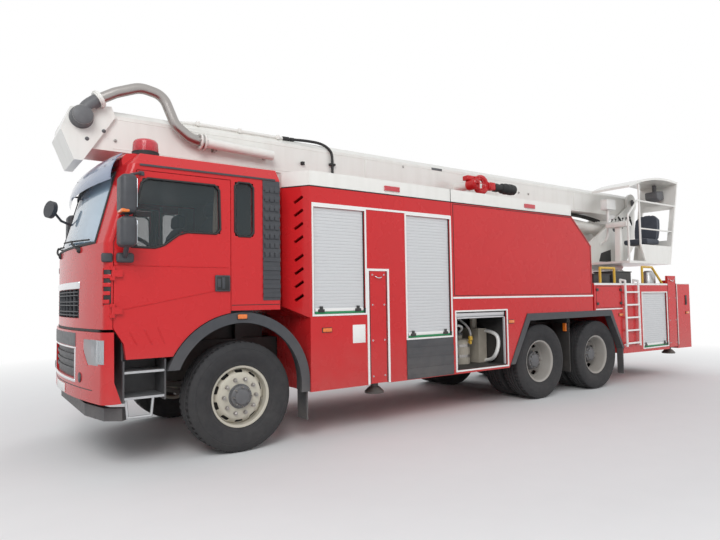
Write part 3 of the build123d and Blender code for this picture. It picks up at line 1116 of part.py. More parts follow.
def mirror_set():
    """Left mirrors: a foot on the door, a stalk, and two housings one above the other."""
    foot = block(1030, 1180, CAB_HALF, CAB_HALF + 55, 1810, 1900)
    stalk = rod((1110, CAB_HALF + 45, 1860), (1120, CAB_HALF + 150, 1960), 22)
    inner = MIRROR_OUT - 205
    lower = block(1055, 1190, inner, MIRROR_OUT, 1935, 2195)
    upper = block(1055, 1190, inner, MIRROR_OUT, 2215, 2550)
    lower = fillet(lower.edges().filter_by(Axis.Z), 30)
    upper = fillet(upper.edges().filter_by(Axis.Z), 30)
    post = rod((1120, CAB_HALF + 150, 1950), (1120, CAB_HALF + 150, 2560), 16)
    brace = rod((1120, CAB_HALF + 150, 2556), (980, CAB_HALF + 14, 2612), 12)
    pad = block(940, 990, CAB_HALF, CAB_HALF + 12, 2590, 2632)
    return union(foot, stalk, lower, upper, post, brace, pad)


def doors():
    """Cab doors with their hinge knuckles, glass, mirrors and handles."""
    inner = CAB_HALF - DOOR_WALL
    leaf = side_solid(door_face(0), inner, CAB_HALF) - side_solid(door_window(), inner - 10, CAB_HALF + 10)
    knuckles_ = []
    for z in HINGE_HEIGHTS:
        low, top = z - HINGE_LENGTH / 2, z + HINGE_LENGTH / 2
        strap = block(HINGE_X - 70, HINGE_X, CAB_HALF, HINGE_Y + HINGE_RADIUS, low, top)
        strap -= block(HINGE_X - 30, HINGE_X + 5, CAB_HALF - 1, HINGE_Y - HINGE_RADIUS + 2, low - 1, top + 1)
        knuckles_.append(union(strap, rod((HINGE_X, HINGE_Y, low), (HINGE_X, HINGE_Y, top), HINGE_RADIUS)))
    leaf = union(leaf, *knuckles_)
    leaf -= rod((HINGE_X, HINGE_Y, DOOR_LOW), (HINGE_X, HINGE_Y, DOOR_TOP), HINGE_PIN + FIT)
    pane = side_solid(door_window(), CAB_HALF - GLASS_DEPTH - GLASS, CAB_HALF - GLASS_DEPTH)
    handle = block(140, 290, CAB_HALF, CAB_HALF + 18, 1560, 1715)
    handle = fillet(handle.edges().filter_by(Axis.Y), 25)
    for name, side in SIDES:
        save(f"door_{name}", sided(leaf, side))
        save(f"door_glass_{name}", sided(pane, side))
        save(f"door_trim_{name}", sided(mirror_set(), side), sided(handle, side))


def main():
    os.makedirs("parts", exist_ok=True)
    wheels()
    knuckles()
    axles()
    chassis_frame()
    drive_train()
    cab_shell()
    cab_glass()
    bumper()
    save("step_treads", *[both(tread) for tread in step_treads()])
    cab_dark_trim()
    sun_visor()
    cab_interior()
    warning_lamps()
    arch_trims()
    front_locker_body()
    tank_body()
    roof_band()
    roller_shutters()
    body_trim()
    pump_fittings()
    rear_cabinet()
    handrails()
    boom_subframe()
    outriggers()
    turntable_mast()
    station()
    boom()
    boom_pipe()
    lift_cylinder()
    jib_arm()
    monitor()
    doors()


main()
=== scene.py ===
import bpy
import bmesh
import json
import math
from mathutils import Matrix, Vector


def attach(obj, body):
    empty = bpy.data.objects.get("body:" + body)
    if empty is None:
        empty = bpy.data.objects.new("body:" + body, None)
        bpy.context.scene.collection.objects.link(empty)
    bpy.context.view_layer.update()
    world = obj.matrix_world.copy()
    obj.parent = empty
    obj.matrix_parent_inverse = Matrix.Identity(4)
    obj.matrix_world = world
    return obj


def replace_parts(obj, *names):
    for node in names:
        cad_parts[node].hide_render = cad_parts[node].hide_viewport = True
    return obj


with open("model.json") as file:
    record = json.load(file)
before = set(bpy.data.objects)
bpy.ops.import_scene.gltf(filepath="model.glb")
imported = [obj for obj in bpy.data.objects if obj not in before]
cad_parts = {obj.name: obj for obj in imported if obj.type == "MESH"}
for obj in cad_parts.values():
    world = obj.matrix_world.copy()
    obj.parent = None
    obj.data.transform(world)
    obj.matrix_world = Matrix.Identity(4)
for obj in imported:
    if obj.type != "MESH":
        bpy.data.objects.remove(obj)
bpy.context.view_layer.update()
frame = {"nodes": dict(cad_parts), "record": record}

# The truck is measured in metres from the front axle, and this carries such a place into the shared frame.
FRONT_AXLE = 3.735
HUB_Z = 0.535
FRONT_WHEEL_Y = 1.035
REAR_WHEEL_Y = 1.045
TWIN_SPACING = 0.35
DRIVE_AXLES = (-4.6, -6.0)
CAB_HALF = 1.22
CAB_NOSE = 1.4
CAB_BOW = 0.147
CAB_WAIST = 1.99
CAB_EAVES = 2.7
WINDSCREEN_RAKE = 0.2
BODY_HALF = 1.25
BODY_TOP = 2.68
DECK = 1.66
LOCKERS = ((-0.76, -1.468, 1.293, 2.476), (-2.034, -2.79, 0.978, 2.476), (-7.259, -8.122, 0.545, 1.518))
SLAT = 0.036
SIDES = (('left', 1), ('right', -1))
PI = math.pi

TYRE_STEPS = 112
SHOULDER = 0.52
SHOULDER_CUT = 0.01
DISC_STEPS = 80
DISC_GAUGE = 0.012
SEAT_Y = 0.6
CURTAIN_DROP = 0.54
TAIL = -8.96
TURNTABLE_X = -7.6
BOLT_CIRCLE = 0.63
MAST_HALF = 0.309
MONITOR_Y = 0.6
MONITOR_Z = 3.13

# The camera's yaw, pitch and roll, its lens and its place, as solved from the photograph.
EYE_TURNS = (-35.34, 2.85, -0.85)
EYE_LENS = 28.505
EYE_PLACE = (2.292, 6.427, 1.475)
FLOOR_CLEAR = 4.6
FLOOR_FADE = 7.0


def spot(x, y, z):
    return Vector((x + FRONT_AXLE, y, z))


def nose_x(y, z):
    """How far forward the bowed front of the cab reaches at a height."""
    bow = (CAB_HALF**2 + CAB_BOW**2) / (2 * CAB_BOW)
    lean = max(0.0, z - CAB_WAIST) * WINDSCREEN_RAKE / (CAB_EAVES - CAB_WAIST)
    return CAB_NOSE - bow + math.sqrt(bow**2 - y**2) - lean


# Finishes

class Wire:
    """A shader socket that can be added, multiplied and compared like a number."""

    def __init__(self, finish, socket):
        self.finish, self.socket = finish, socket

    def maths(self, operation, first, second):
        return self.finish.node('ShaderNodeMath', {'operation': operation}, {0: first, 1: second})

    def __add__(self, other):
        return self.maths('ADD', self, other)

    def __sub__(self, other):
        return self.maths('SUBTRACT', self, other)

    def __rsub__(self, other):
        return self.maths('SUBTRACT', other, self)

    def __mul__(self, other):
        return self.maths('MULTIPLY', self, other)

    def __truediv__(self, other):
        return self.maths('DIVIDE', self, other)

    def __gt__(self, other):
        return self.maths('GREATER_THAN', self, other)

    __radd__ = __add__
    __rmul__ = __mul__

    def clipped(self):
        return self.finish.node('ShaderNodeClamp', {}, {'Value': self})


class Net:
    """A tree of shader nodes."""

    def __init__(self, tree):
        self.tree = tree

    def plug(self, socket, value):
        if isinstance(value, Wire):
            self.tree.links.new(value.socket, socket)
        elif isinstance(value, tuple) and len(value) == 3 and socket.type == 'RGBA':
            socket.default_value = (*value, 1.0)
        else:
            socket.default_value = value

    def node(self, kind, settings, sockets, out=0):
        node = self.tree.nodes.new(kind)
        for name, value in settings.items():
            setattr(node, name, value)
        for name, value in sockets.items():
            self.plug(node.inputs[name], value)
        return Wire(self, node.outputs[out])

    def seen_rays(self):
        """One for a ray from the camera, also by way of a mirror or a pane of glass."""
        camera = self.node('ShaderNodeLightPath', {}, {}, 'Is Camera Ray')
        ways = camera.socket.node.outputs
        through, off = Wire(self, ways['Is Transmission Ray']), Wire(self, ways['Is Glossy Ray'])
        return (camera + through + off).clipped()

    def send(self, end, share, first, second):
        """Sends a mix of two shaders to the tree's output."""
        mix = self.node('ShaderNodeMixShader', {}, {0: share, 1: first, 2: second})
        self.plug(self.tree.nodes[end].inputs[0], mix)


class Finish(Net):
    """One material: a Principled shader and the small nodes that vary it over the surface."""

    def __init__(self, name, rough, **fixed):
        self.material = bpy.data.materials.new(name)
        self.material.use_nodes = True
        super().__init__(self.material.node_tree)
        self.shader = self.tree.nodes['Principled BSDF']
        self.place = self.node('ShaderNodeTexCoord', {}, {}, 'Object')
        parts = self.node('ShaderNodeSeparateXYZ', {}, {0: self.place})
        self.x, self.y, self.z = (Wire(self, socket) for socket in parts.socket.node.outputs)
        self.set(Roughness=rough, **fixed)

    def set(self, **sockets):
        for name, value in sockets.items():
            self.plug(self.shader.inputs[name.replace('_', ' ')], value)
        return self

    def grain(self, scale, detail=2.0, stretch=(1.0, 1.0, 1.0)):
        place = self.node('ShaderNodeMapping', {}, {'Vector': self.place, 'Scale': stretch})
        return self.node('ShaderNodeTexNoise', {}, {'Vector': place, 'Scale': scale, 'Detail': detail})

    def ridges(self, direction, scale):
        return self.node('ShaderNodeTexWave', {'bands_direction': direction},
                {'Vector': self.place, 'Scale': scale}, 1)

    def blend(self, share, first, second):
        return self.node('ShaderNodeMix', {'data_type': 'RGBA'}, {0: share, 6: first, 7: second}, 2)

    def bumped(self, height, strength, depth):
        return self.set(Normal=self.node('ShaderNodeBump', {},
                {'Strength': strength, 'Distance': depth, 'Height': height}))

    def dusted(self, clean, dust, top, depth, share):
        """Road dust that thins out with height."""
        low = ((top - self.z) / depth).clipped()
        return self.blend(low * share * self.grain(6.0, 4.0), clean, dust)


DUST = (0.34, 0.29, 0.25)
# Glass further forward than this carries a painted reflection of the sky, more solidly than the side windows.
SCREEN_REAR = 4.828
SKY_REFLECTION_ALPHA = 0.74


def painted(name, light, dark, rough=0.22, coat=0.6, dust=0.3, dust_top=1.1):
    finish = Finish(name, rough, Specular_IOR_Level=0.25)
    finish.set(Coat_Weight=coat, Coat_Roughness=0.04)
    colour = finish.blend(finish.grain(1.7, 3.0), light, dark)
    finish.set(Base_Color=finish.dusted(colour, DUST, dust_top, 0.8, dust))
    finish.set(Roughness=finish.grain(4.0, 3.0) * 0.12 + (rough - 0.05))
    return finish.bumped(finish.grain(260.0, 1.0), 0.025, 0.002)


def streaked_white(name, clean, grime, share, rough=0.3):
    """Warm white paint with faint rain streaks."""
    finish = Finish(name, rough)
    finish.set(Coat_Weight=0.35, Coat_Roughness=0.08)
    streaks = (finish.grain(9.0, 4.0, (1.0, 1.0, 0.12)) - 0.45).clipped() * share
    finish.set(Base_Color=finish.blend(streaks, clean, grime))
    finish.set(Roughness=finish.grain(12.0, 3.0) * 0.2 + (rough - 0.08))
    return finish.bumped(finish.grain(180.0, 1.0), 0.03, 0.002)


def moulded(name, colour, worn, rough=0.55, scale=420.0, dust=0.25, dust_top=1.2):
    """Grained plastic or rubber."""
    finish = Finish(name, rough)
    tone = finish.blend(finish.grain(14.0, 4.0), colour, worn)
    finish.set(Base_Color=finish.dusted(tone, DUST, dust_top, 0.9, dust))
    finish.set(Roughness=finish.grain(30.0, 2.0) * 0.25 + (rough - 0.12))
    return finish.bumped(finish.grain(scale, 2.0), 0.18, 0.002)


def brushed(name, colour, dark, rough=0.32, metal=0.9, stretch=(1.0, 1.0, 40.0)):
    """Metal with a drawn or brushed lie."""
    finish = Finish(name, rough, Metallic=metal)
    lie = finish.grain(18.0, 3.0, stretch)
    finish.set(Base_Color=finish.blend(lie, colour, dark))
    finish.set(Roughness=lie * 0.2 + (rough - 0.08))
    return finish.bumped(lie, 0.05, 0.001)


def clear_pane(name, tint, top_tint, alpha, band, sky=None):
    """Tinted glass that darkens towards its top edge, and that carries a painted reflection of the sky where
    it faces ahead.
    """
    finish = Finish(name, 0.03, Alpha=alpha, IOR=1.5)
    finish.set(Coat_Weight=0.5, Coat_Roughness=0.02)
    share = ((finish.z - band) / 0.35).clipped()
    colour = finish.blend(share, tint, top_tint)
    # sky is a painted sky reflection, blended into the colour of the glass ahead of SCREEN_REAR.
    if sky:
        ahead = finish.x > SCREEN_REAR
        colour = finish.blend(ahead, colour, sky)
        finish.set(Alpha=ahead * (SKY_REFLECTION_ALPHA - alpha) + alpha)
    finish.set(Base_Color=colour)
    finish.set(Roughness=finish.grain(5.0, 3.0) * 0.05 + 0.01)
    return finish


def lens(name, colour, deep, glow=0.0, alpha=1.0):
    """Ribbed coloured lamp glass."""
    finish = Finish(name, 0.12, Alpha=alpha)
    finish.set(Coat_Weight=0.8, Coat_Roughness=0.03)
    finish.set(Base_Color=finish.blend(finish.grain(40.0, 2.0), colour, deep))
    if glow:
        finish.set(Emission_Color=finish.blend(finish.grain(25.0), colour, deep), Emission_Strength=glow)
    return finish.bumped(finish.ridges('Z', 38.0), 0.25, 0.003)


def woven(name, light, dark, scale=260.0):
    """Seat cloth or curtain with a fine weave."""
    finish = Finish(name, 0.85)
    finish.set(Sheen_Weight=0.2)
    weave = finish.ridges('X', scale) * finish.ridges('Z', scale)
    tone = finish.blend(finish.grain(11.0, 3.0), light, dark)
    finish.set(Base_Color=finish.blend(weave * 0.35, tone, dark))
    return finish.bumped(weave, 0.3, 0.002)


RED = painted('red paint', (0.6, 0.022, 0.026), (0.54, 0.018, 0.021), 0.26, 0.22)
WHITE = streaked_white('warm white paint', (0.8, 0.79, 0.75), (0.52, 0.49, 0.43), 0.5)
TRIM_WHITE = streaked_white('white trim', (0.82, 0.82, 0.8), (0.55, 0.53, 0.48), 0.35, 0.35)
FRAME = moulded('chassis black', (0.02, 0.021, 0.023), (0.045, 0.044, 0.043), 0.5, 120.0, 0.5, 1.3)
PLASTIC = moulded('dark moulded plastic', (0.034, 0.037, 0.044), (0.06, 0.063, 0.07), 0.5, 520.0, 0.35)
INTERIOR = moulded('cab lining', (0.075, 0.074, 0.072), (0.13, 0.125, 0.12), 0.7, 300.0, 0.0)
# The last colour of the tinted glass is its painted sky reflection.
GLASS = clear_pane('tinted glass', (0.03, 0.048, 0.055), (0.012, 0.02, 0.026), 0.34, 2.45,
                   (0.44, 0.6, 0.74))
VISOR = clear_pane('smoked visor', (0.26, 0.33, 0.47), (0.2, 0.26, 0.4), 0.9, 2.55)
LAMP = clear_pane('lamp glass', (0.55, 0.58, 0.6), (0.42, 0.45, 0.48), 0.55, 1.0)
RED_LENS = lens('red lamp glass', (0.62, 0.03, 0.05), (0.38, 0.012, 0.022), 0.06)
AMBER_LENS = lens('amber lamp glass', (0.85, 0.22, 0.02), (0.62, 0.12, 0.01), 0.08)
TYRE = moulded('tyre rubber', (0.013, 0.014, 0.017), (0.032, 0.032, 0.034), 0.78, 240.0, 0.07, 1.3)
FRONT_RIM = painted('cream wheel paint', (0.62, 0.59, 0.5), (0.5, 0.47, 0.39), 0.45, 0.1, 0.35)
REAR_RIM = painted('grey wheel paint', (0.46, 0.45, 0.43), (0.33, 0.31, 0.28), 0.5, 0.05, 0.6)
SHUTTER = brushed('shutter slats', (0.66, 0.67, 0.68), (0.56, 0.57, 0.58), 0.42, 0.25, (30.0, 1.0, 1.0))
TREAD = brushed('tread plate', (0.6, 0.61, 0.62), (0.4, 0.41, 0.42), 0.38, 0.85, (1.0, 12.0, 1.0))
YELLOW = painted('yellow paint', (0.72, 0.46, 0.06), (0.6, 0.36, 0.04), 0.35, 0.3, 0.0)
BEIGE = moulded('beige casing', (0.52, 0.48, 0.4), (0.36, 0.32, 0.26), 0.45, 150.0, 0.5)
STAINLESS = brushed('drawn steel pipe', (0.44, 0.42, 0.4), (0.33, 0.31, 0.3), 0.3, 0.95,
                    (1.0, 30.0, 30.0))
CHROME = brushed('chromed rod', (0.72, 0.73, 0.75), (0.6, 0.61, 0.63), 0.12, 1.0)
JACK = moulded('jack black', (0.016, 0.017, 0.018), (0.035, 0.034, 0.033), 0.45, 150.0, 0.4)
CAST = moulded('cast grey', (0.085, 0.088, 0.095), (0.15, 0.15, 0.155), 0.5, 90.0, 0.1)
RUBBER = moulded('black seal', (0.01, 0.01, 0.011), (0.022, 0.022, 0.022), 0.6, 300.0, 0.2)
GREEN = painted('green strip', (0.03, 0.3, 0.12), (0.02, 0.22, 0.08), 0.4, 0.2, 0.0)
SEAT_CLOTH = woven('seat cloth', (0.07, 0.082, 0.105), (0.035, 0.042, 0.058))
CURTAIN = woven('beige curtain', (0.5, 0.43, 0.33), (0.34, 0.28, 0.21), 420.0)
MIRROR = brushed('mirror glass', (0.62, 0.66, 0.7), (0.52, 0.56, 0.6), 0.06, 1.0)

SLOT_FINISH = {'red_paint': RED, 'white_paint': WHITE, 'frame_black': FRAME, 'dark_plastic': PLASTIC,
               'interior': INTERIOR, 'glass': GLASS, 'visor': VISOR, 'lamp': LAMP, 'red_lens': RED_LENS,
               'tyre': TYRE, 'front_rim': FRONT_RIM, 'rear_rim': REAR_RIM, 'shutter': SHUTTER,
               'trim_white': TRIM_WHITE, 'tread': TREAD, 'yellow': YELLOW, 'beige': BEIGE,
               'stainless': STAINLESS, 'rod_chrome': CHROME, 'jack_black': JACK}
for slot_name, slot_finish in SLOT_FINISH.items():
    slot_finish.slot = slot_name
AMBER_LENS.slot = MIRROR.slot = 'lamp'
CAST.slot = RUBBER.slot = 'dark_plastic'
SEAT_CLOTH.slot = CURTAIN.slot = 'interior'
GREEN.slot = 'trim_white'


def dress_nodes():
    """Every solid that stays in view takes the finish of its slot."""
    slots = {entry['node']: entry['material_slot'] for entry in frame['record']['subparts']}
    for name, piece in frame['nodes'].items():
        finish = SLOT_FINISH[slots[name]].material
        for number in range(len(piece.material_slots)):
            piece.material_slots[number].material = finish


# Shaping

def clear():
    bpy.ops.object.select_all(action='DESELECT')


def take(piece):
    clear()
    piece.select_set(True)
    bpy.context.view_layer.objects.active = piece


def settle(name=None):
    """Puts the active piece's place into its mesh."""
    bpy.ops.object.transform_apply(location=True, rotation=True, scale=True)
    if name:
        bpy.context.object.name = name
    return bpy.context.object


def edit(piece, kind='VERT'):
    take(piece)
    bpy.ops.object.mode_set(mode='EDIT')
    bpy.ops.mesh.select_mode(type=kind)
    bpy.ops.mesh.select_all(action='SELECT')


def leave():
    bpy.ops.object.mode_set(mode='OBJECT')


def pick_faces(piece, test):
    """Selects the faces whose middle and normal pass a test."""
    bpy.ops.mesh.select_mode(type='FACE')
    bpy.ops.mesh.select_all(action='DESELECT')
    net = bmesh.from_edit_mesh(piece.data)
    for face in net.faces:
        if test(face.calc_center_median(), face.normal):
            face.select_set(True)
    bmesh.update_edit_mesh(piece.data)


def closed():
    """Merges doubles and turns the faces of the piece being edited outwards."""
    bpy.ops.mesh.select_all(action='SELECT')
    bpy.ops.mesh.remove_doubles(threshold=0.00005)
    bpy.ops.mesh.normals_make_consistent(inside=False)


def bar(low, high, edge=0.004, steps=2):
    """A bevelled block between two corners."""
    clear()
    middle = [(a + b) / 2 for a, b in zip(low, high)]
    size = [abs(b - a) for a, b in zip(low, high)]
    bpy.ops.mesh.primitive_cube_add(size=1.0, location=spot(*middle), scale=size)
    piece = settle()
    edit(piece)
    bpy.ops.mesh.bevel(offset=min(edge, 0.45 * min(size)), segments=steps, affect='EDGES')
    leave()
    return piece


def strand(points):
    """A line of edges drawn point by point, left in edit mode with all of it selected."""
    clear()
    bpy.ops.mesh.primitive_plane_add(size=0.01, location=(0.0, 0.0, 0.0))
    piece = bpy.context.object
    edit(piece)
    bpy.ops.mesh.merge(type='CENTER')
    bpy.ops.transform.translate(value=points[0])
    for before, after in zip(points, points[1:]):
        bpy.ops.mesh.extrude_vertices_move(TRANSFORM_OT_translate={'value': Vector(after) - Vector(before)})
    bpy.ops.mesh.select_all(action='SELECT')
    return piece


def lathe(profile, centre, axis='Y', steps=48, side=1):
    """A profile of (radius, distance along the axis) spun about an axis through the centre."""
    along = {'X': Vector((1, 0, 0)), 'Y': Vector((0, 1, 0)), 'Z': Vector((0, 0, 1))}[axis]
    out = Vector((0, 0, 1)) if axis == 'X' else Vector((1, 0, 0))
    middle = spot(*centre)
    piece = strand([middle + out * radius + along * (side * reach) for radius, reach in profile])
    bpy.ops.mesh.spin(steps=steps, angle=2 * PI, center=middle, axis=along)
    closed()
    leave()
    return piece


def plate(points, depth, drop=None):
    """A flat outline filled and pushed out by a vector, with its edges eased."""
    piece = strand([spot(*point) for point in points])
    bpy.ops.mesh.edge_face_add()
    bpy.ops.mesh.extrude_region_move(TRANSFORM_OT_translate={'value': depth})
    closed()
    if drop:
        bpy.ops.mesh.bevel(offset=drop, segments=2, affect='EDGES')
    leave()
    return piece


def tube(points, radius, smooth=True, sides=5):
    """A round bar or pipe along a line of points."""
    line = bpy.data.curves.new('line', 'CURVE')
    line.dimensions = '3D'
    run = line.splines.new('NURBS' if smooth else 'POLY')
    run.points.add(len(points) - 1)
    for knot, point in zip(run.points, points):
        knot.co = (*spot(*point), 1.0)
    if smooth:
        run.order_u = 3
        run.use_endpoint_u = True
        line.resolution_u = 6
    line.bevel_depth = radius
    line.bevel_resolution = sides
    line.use_fill_caps = True
    piece = bpy.data.objects.new('line', line)
    bpy.context.collection.objects.link(piece)
    take(piece)
    bpy.ops.object.convert(target='MESH')
    piece = bpy.context.object
    edit(piece)
    closed()
    leave()
    return piece


def doubled(piece):
    take(piece)
    bpy.ops.object.duplicate()
    return bpy.context.object


def outward(piece):
    """Turns every face of a piece outwards."""
    edit(piece)
    bpy.ops.mesh.normals_make_consistent(inside=False)
    leave()


def smoothed(piece, levels=1):
    """Subdivides a piece smoothly, for good."""
    soften = piece.modifiers.new('soften', 'SUBSURF')
    soften.levels = soften.render_levels = levels
    take(piece)
    bpy.ops.object.modifier_apply(modifier='soften')


def copied(piece, shift):
    doubled(piece).location = Vector(shift)
    return settle()


def turned_copy(piece, centre, axis, angle):
    """A copy turned about an axis through a point of the truck."""
    twin = doubled(piece)
    middle = spot(*centre)
    turn = Matrix.Translation(middle) @ Matrix.Rotation(angle, 4, axis)
    twin.matrix_world = turn @ Matrix.Translation(-middle)
    return settle()


def mirrored(piece):
    """The same piece on the other side of the truck."""
    twin = doubled(piece)
    twin.scale.y = -1.0
    settle()
    outward(twin)
    return twin


def joined(pieces):
    """A list of pieces as one. A single piece comes back as it is."""
    if not isinstance(pieces, list):
        return pieces
    clear()
    for piece in pieces:
        piece.select_set(True)
    bpy.context.view_layer.objects.active = pieces[0]
    if len(pieces) > 1:
        bpy.ops.object.join()
    return pieces[0]


def show(name, pieces, finish, body='chassis', angle=35.0):
    """Joins finished pieces and gives them a name, a material and the body that carries them."""
    piece = joined(pieces)
    piece.name = name
    take(piece)
    piece.data.materials.clear()
    piece.data.materials.append(finish.material)
    bpy.ops.object.shade_smooth_by_angle(angle=math.radians(angle))
    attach(piece, body)
    return piece


def show_pair(name, pieces, finish, angle=35.0):
    """Shows pieces of the left side together with their mirror image."""
    left = joined(pieces)
    return show(name, [left, mirrored(left)], finish, 'chassis', angle)


# Wheels

def round_the_hub(place, centre, steps):
    """A place's radius about a wheel's axis, and which of the equal steps round it the place lies in."""
    x, z = place.x - centre[0] - FRONT_AXLE, place.z - centre[2]
    return math.hypot(x, z), math.floor(math.atan2(z, x) / (2 * PI) * steps + 0.001)


def tyre_form():
    """One tyre at the left front wheel: beads, ribbed sidewalls, four tread ribs and cut shoulders."""
    wall = [(0.3, 0.112), (0.306, 0.12), (0.318, 0.121), (0.33, 0.128), (0.336, 0.128), (0.352, 0.137),
            (0.395, 0.151), (0.43, 0.155), (0.455, 0.154), (0.459, 0.151), (0.464, 0.151), (0.468, 0.1525),
            (0.492, 0.1465), (0.512, 0.138), (0.526, 0.128), (0.5315, 0.117)]
    tread = [(0.533, 0.105), (0.534, 0.076), (0.522, 0.072), (0.522, 0.064), (0.5345, 0.06), (0.535, 0.028),
             (0.523, 0.024), (0.523, 0.016), (0.535, 0.012)]
    half = wall + tread
    profile = half + [(radius, -reach) for radius, reach in reversed(half)]
    centre = (0.0, FRONT_WHEEL_Y, HUB_Z)
    tyre = lathe(profile, centre, 'Y', TYRE_STEPS)
    edit(tyre, 'FACE')

    def cut(place, normal):
        radius, step = round_the_hub(place, centre, TYRE_STEPS)
        outside = place.y > FRONT_WHEEL_Y
        return radius > SHOULDER and 0.076 < abs(place.y - FRONT_WHEEL_Y) < 0.136 and step % 2 == outside

    pick_faces(tyre, cut)
    bpy.ops.mesh.extrude_region_shrink_fatten(TRANSFORM_OT_shrink_fatten={'value': -SHOULDER_CUT})
    leave()
    return tyre


def dress_tyres():
    pattern = tyre_form()

    def placed(x, y):
        return copied(pattern, (x, y - FRONT_WHEEL_Y, 0.0))

    for name, side in SIDES:
        front = placed(0.0, side * FRONT_WHEEL_Y)
        show(f'front_tyre_{name}', front, TYRE, f'wheel_front_{name}', 28.0)
        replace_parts(front, f'tyre_front_{name}')
        for number, x in enumerate(DRIVE_AXLES, 1):
            twins = [placed(x, side * REAR_WHEEL_Y), placed(x, side * (REAR_WHEEL_Y - TWIN_SPACING))]
            pair = show(f'drive_tyres_{number}_{name}', twins, TYRE, f'wheel_drive_{number}_{name}', 28.0)
            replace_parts(pair, f'tyres_drive_{number}_{name}')
    bpy.data.objects.remove(pattern)


def disc_form(profile, centre, side):
    """A pressed wheel disc whose web has ten oval hand holes, as a sheet with thickness."""
    disc = lathe(profile, centre, 'Y', DISC_STEPS, side)
    edit(disc, 'FACE')

    def hole(place, normal):
        radius, step = round_the_hub(place, centre, DISC_STEPS)
        return 0.23 < radius < 0.258 and step % 8 in (2, 3, 4, 5) and abs(normal.y) > 0.3

    pick_faces(disc, hole)
    bpy.ops.mesh.delete(type='FACE')
    leave()
    thick = disc.modifiers.new('gauge', 'SOLIDIFY')
    thick.thickness = DISC_GAUGE
    thick.offset = 0.0
    take(disc)
    bpy.ops.object.modifier_apply(modifier='gauge')
    smoothed(disc)
    outward(disc)
    return disc


def nut_form(x, y, z, side, size=0.017, length=0.03):
    """A wheel nut with its washer and the end of its stud."""
    clear()
    bpy.ops.mesh.primitive_cylinder_add(vertices=6, radius=size, depth=length, rotation=(PI / 2, 0.0, 0.0),
                                        location=spot(x, y + side * length / 2, z))
    nut = settle()
    edit(nut, 'FACE')
    pick_faces(nut, lambda place, normal: normal.y * side > 0.9)
    bpy.ops.mesh.inset(thickness=size * 0.25)
    bpy.ops.mesh.inset(thickness=size * 0.22, depth=0.003)
    bpy.ops.mesh.extrude_region_move(TRANSFORM_OT_translate={'value': (0.0, side * 0.01, 0.0)})
    leave()
    wide = size * 1.25
    washer = lathe([(0.0, 0.0), (wide, 0.0), (wide, 0.004), (0.0, 0.004)], (x, y, z), 'Y', 16, side)
    return joined([nut, washer])


def nut_ring(centre, radius, count, side, size=0.017):
    x, y, z = centre
    first = nut_form(x + radius, y, z, side, size)
    turns = [2 * PI * number / count for number in range(1, count)]
    return joined([first] + [turned_copy(first, centre, 'Y', turn) for turn in turns])


RIM_EDGE = [(0.276, 0.104), (0.284, 0.112), (0.297, 0.114), (0.2995, 0.118), (0.2995, 0.11), (0.286, 0.096),
            (0.284, -0.096), (0.2995, -0.11), (0.2995, -0.118), (0.284, -0.112)]
FRONT_WHEEL = {
    'web': [(0.095, 0.089), (0.15, 0.089), (0.205, 0.087), (0.216, 0.082), (0.23, 0.07), (0.245, 0.054),
            (0.258, 0.04), (0.266, 0.026), (0.268, 0.004)],
    'wells': [([(0.268, 0.01), (0.274, 0.06)] + RIM_EDGE + [(0.268, -0.096), (0.268, 0.01)], 72)],
    'shade': [(0.214, 0.024), (0.266, 0.01), (0.266, 0.004), (0.214, 0.018), (0.214, 0.024)],
    'hub': [(0.0, 0.164), (0.06, 0.164), (0.072, 0.16), (0.078, 0.15), (0.084, 0.142), (0.098, 0.14),
            (0.106, 0.134), (0.108, 0.098), (0.12, 0.096), (0.122, 0.092), (0.0, 0.092)],
    'nuts': ('front_nuts', 0.094, 0.1675, 10, 0.017), 'bolts': ('hub_bolts', 0.139, 0.092, 8, 0.007)}
DRIVE_WHEEL = {
    'web': [(0.13, -0.16), (0.165, -0.16), (0.205, -0.158), (0.216, -0.152), (0.23, -0.136), (0.245, -0.118),
            (0.258, -0.1), (0.266, -0.082), (0.27, -0.06)],
    'wells': [([(0.27, -0.066), (0.27, 0.085)] + RIM_EDGE + [(0.262, -0.1), (0.27, -0.066)], 72),
              ([(0.13, -0.19), (0.215, -0.192), (0.24, -0.22), (0.262, -0.252), (0.27, -0.29), (0.27, -0.446),
                (0.284, -0.462), (0.2995, -0.468), (0.2995, -0.46), (0.284, -0.446), (0.284, -0.254),
                (0.2995, -0.24), (0.2995, -0.232), (0.276, -0.238), (0.248, -0.214), (0.222, -0.18),
                (0.13, -0.178), (0.13, -0.19)], 64)],
    'shade': [(0.214, -0.168), (0.262, -0.15), (0.262, -0.156), (0.214, -0.174), (0.214, -0.168)],
    'hub': [(0.0, 0.036), (0.06, 0.038), (0.086, 0.032), (0.094, 0.02), (0.114, 0.018), (0.12, 0.01),
            (0.122, -0.03), (0.138, -0.05), (0.142, -0.14), (0.15, -0.156), (0.146, -0.3), (0.204, -0.33),
            (0.204, -0.468), (0.0, -0.468)],
    'nuts': ('drive_nuts', -0.155, 0.1795, 10, 0.017), 'bolts': ('shaft_bolts', 0.018, 0.104, 10, 0.007)}


def dress_wheel(kind, tag, left_centre, side, form, finish):
    """Pressed disc in its well, dark ring behind the hand holes, hub, nuts and hub bolts of one wheel."""
    x, y, z = left_centre
    centre = (x, side * y, z)
    body = f'wheel_{kind}_{tag}'
    rim = [disc_form(form['web'], centre, side)]
    rim += [lathe(well, centre, 'Y', steps, side) for well, steps in form['wells']]
    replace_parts(show(f'{kind}_wheel_{tag}', rim, finish, body, 40.0), f'rim_{kind}_{tag}')
    show(f'{kind}_shade_{tag}', lathe(form['shade'], centre, 'Y', 48, side), RUBBER, body, 30.0)
    show(f'{kind}_hub_{tag}', lathe(form['hub'], centre, 'Y', 48, side), CAST, body, 30.0)
    for name, out, radius, count, size in (form['nuts'], form['bolts']):
        ring = nut_ring((x, side * (y + out), z), radius, count, side, size)
        show(f'{name}_{tag}', ring, STAINLESS, body, 30.0)


